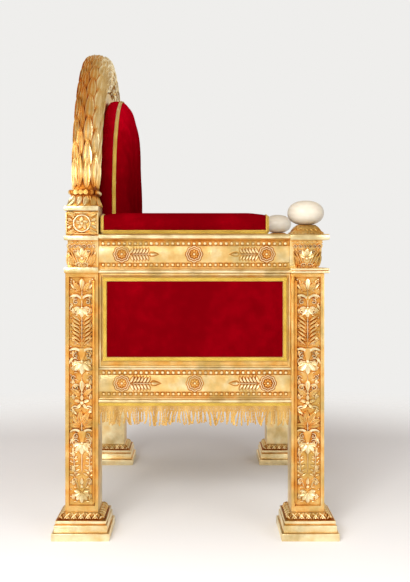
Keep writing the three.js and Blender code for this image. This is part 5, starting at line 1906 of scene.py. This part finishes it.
bpy.ops.mesh.primitive_circle_add(vertices=96, radius=FLOOR_RADIUS, fill_type="NGON")
floor = bpy.context.object
floor.name = "floor"
ground = Finish("floor", Roughness=0.9, Specular_IOR_Level=0.1, Emission_Strength=1.0)
spread = ground.add("ShaderNodeVectorMath", {"operation": "LENGTH"}, {0: ground.where()}, "Value")
ground.give("Base Color", ground.ramp(spread * (1 / FLOOR_RADIUS), [
    (0.0, tint(240, 238, 236)), (1.0, tint(240, 239, 237))]))
# Painted light: the floor glows, faintly blue everywhere and brighter from 0.7 m behind the middle
# outwards, lifting the floor behind the throne to the backdrop's brightness
far = ground.add("ShaderNodeSeparateXYZ", {}, {0: ground.where()}, "X")
ground.give("Emission Color", ground.ramp(((far - 0.7) * 1.1).held(), [
    (0.0, (0.0, 0.010, 0.018, 1)), (1.0, (0.32, 0.32, 0.32, 1))]))
fade = (1.82 - spread * 0.91).held()
ground.give("Alpha", fade * fade * (3 - 2 * fade))
floor.data.materials.append(ground.material)


def softbox(name, place, target, width, height, power, colour, mirrored=True):
    light = bpy.data.lights.new(name, "AREA")
    light.shape = "RECTANGLE"
    light.size, light.size_y = width, height
    light.energy = power
    light.color = colour
    lamp = bpy.data.objects.new(name, light)
    lamp.location = place
    lamp.rotation_euler = (Vector(target) - Vector(place)).to_track_quat("-Z", "Y").to_euler()
    lamp.visible_glossy = mirrored
    bpy.context.scene.collection.objects.link(lamp)


softbox("wall_of_light", (-2.8, 0.5, 1.45), (0, 0, 0.2), 1.1, 0.6, 76, (0.97, 0.985, 1), False)
softbox("key", (-2.9, 1.5, 1.75), (0, 0, 0.5), 1.5, 1.2, 34, (1, 0.985, 0.965))
softbox("fill", (-2.6, -2.0, 1.6), (0, 0, 0.5), 1.6, 1.6, 19, (1, 0.99, 0.98))


def studio_air():
    """Pale air behind the throne. Gold mirrors a room that is bright low down and brown above."""
    world = bpy.data.worlds.new("studio")
    world.use_nodes = True
    tree = world.node_tree
    way = tree.nodes.new("ShaderNodeTexCoord")
    height = tree.nodes.new("ShaderNodeSeparateXYZ")
    ramp = tree.nodes.new("ShaderNodeValToRGB")
    stops = [(0.0, (0.86, 0.83, 0.78, 1)), (0.30, (0.74, 0.70, 0.62, 1)),
             (0.62, (0.52, 0.38, 0.22, 1)), (1.0, (0.48, 0.32, 0.14, 1))]
    for _ in stops[2:]:
        ramp.color_ramp.elements.new(0.5)
    for element, (place, colour) in zip(ramp.color_ramp.elements, stops):
        element.position = place
        element.color = colour
    room = tree.nodes.new("ShaderNodeBackground")
    daylight = tree.nodes.new("ShaderNodeBackground")
    daylight.inputs["Color"].default_value = (0.52, 0.48, 0.46, 1)
    backdrop = tree.nodes["Background"]
    backdrop.inputs["Color"].default_value = tint(239, 238, 236)
    seen = tree.nodes.new("ShaderNodeLightPath")
    lit = tree.nodes.new("ShaderNodeMixShader")
    whole = tree.nodes.new("ShaderNodeMixShader")
    tree.links.new(way.outputs["Generated"], height.inputs[0])
    tree.links.new(height.outputs["Z"], ramp.inputs["Fac"])
    tree.links.new(ramp.outputs["Color"], room.inputs["Color"])
    tree.links.new(seen.outputs["Is Diffuse Ray"], lit.inputs["Fac"])
    tree.links.new(room.outputs[0], lit.inputs[1])
    tree.links.new(daylight.outputs[0], lit.inputs[2])
    tree.links.new(seen.outputs["Is Camera Ray"], whole.inputs["Fac"])
    tree.links.new(lit.outputs[0], whole.inputs[1])
    tree.links.new(backdrop.outputs[0], whole.inputs[2])
    tree.links.new(whole.outputs[0], tree.nodes["World Output"].inputs["Surface"])
    bpy.context.scene.world = world


studio_air()
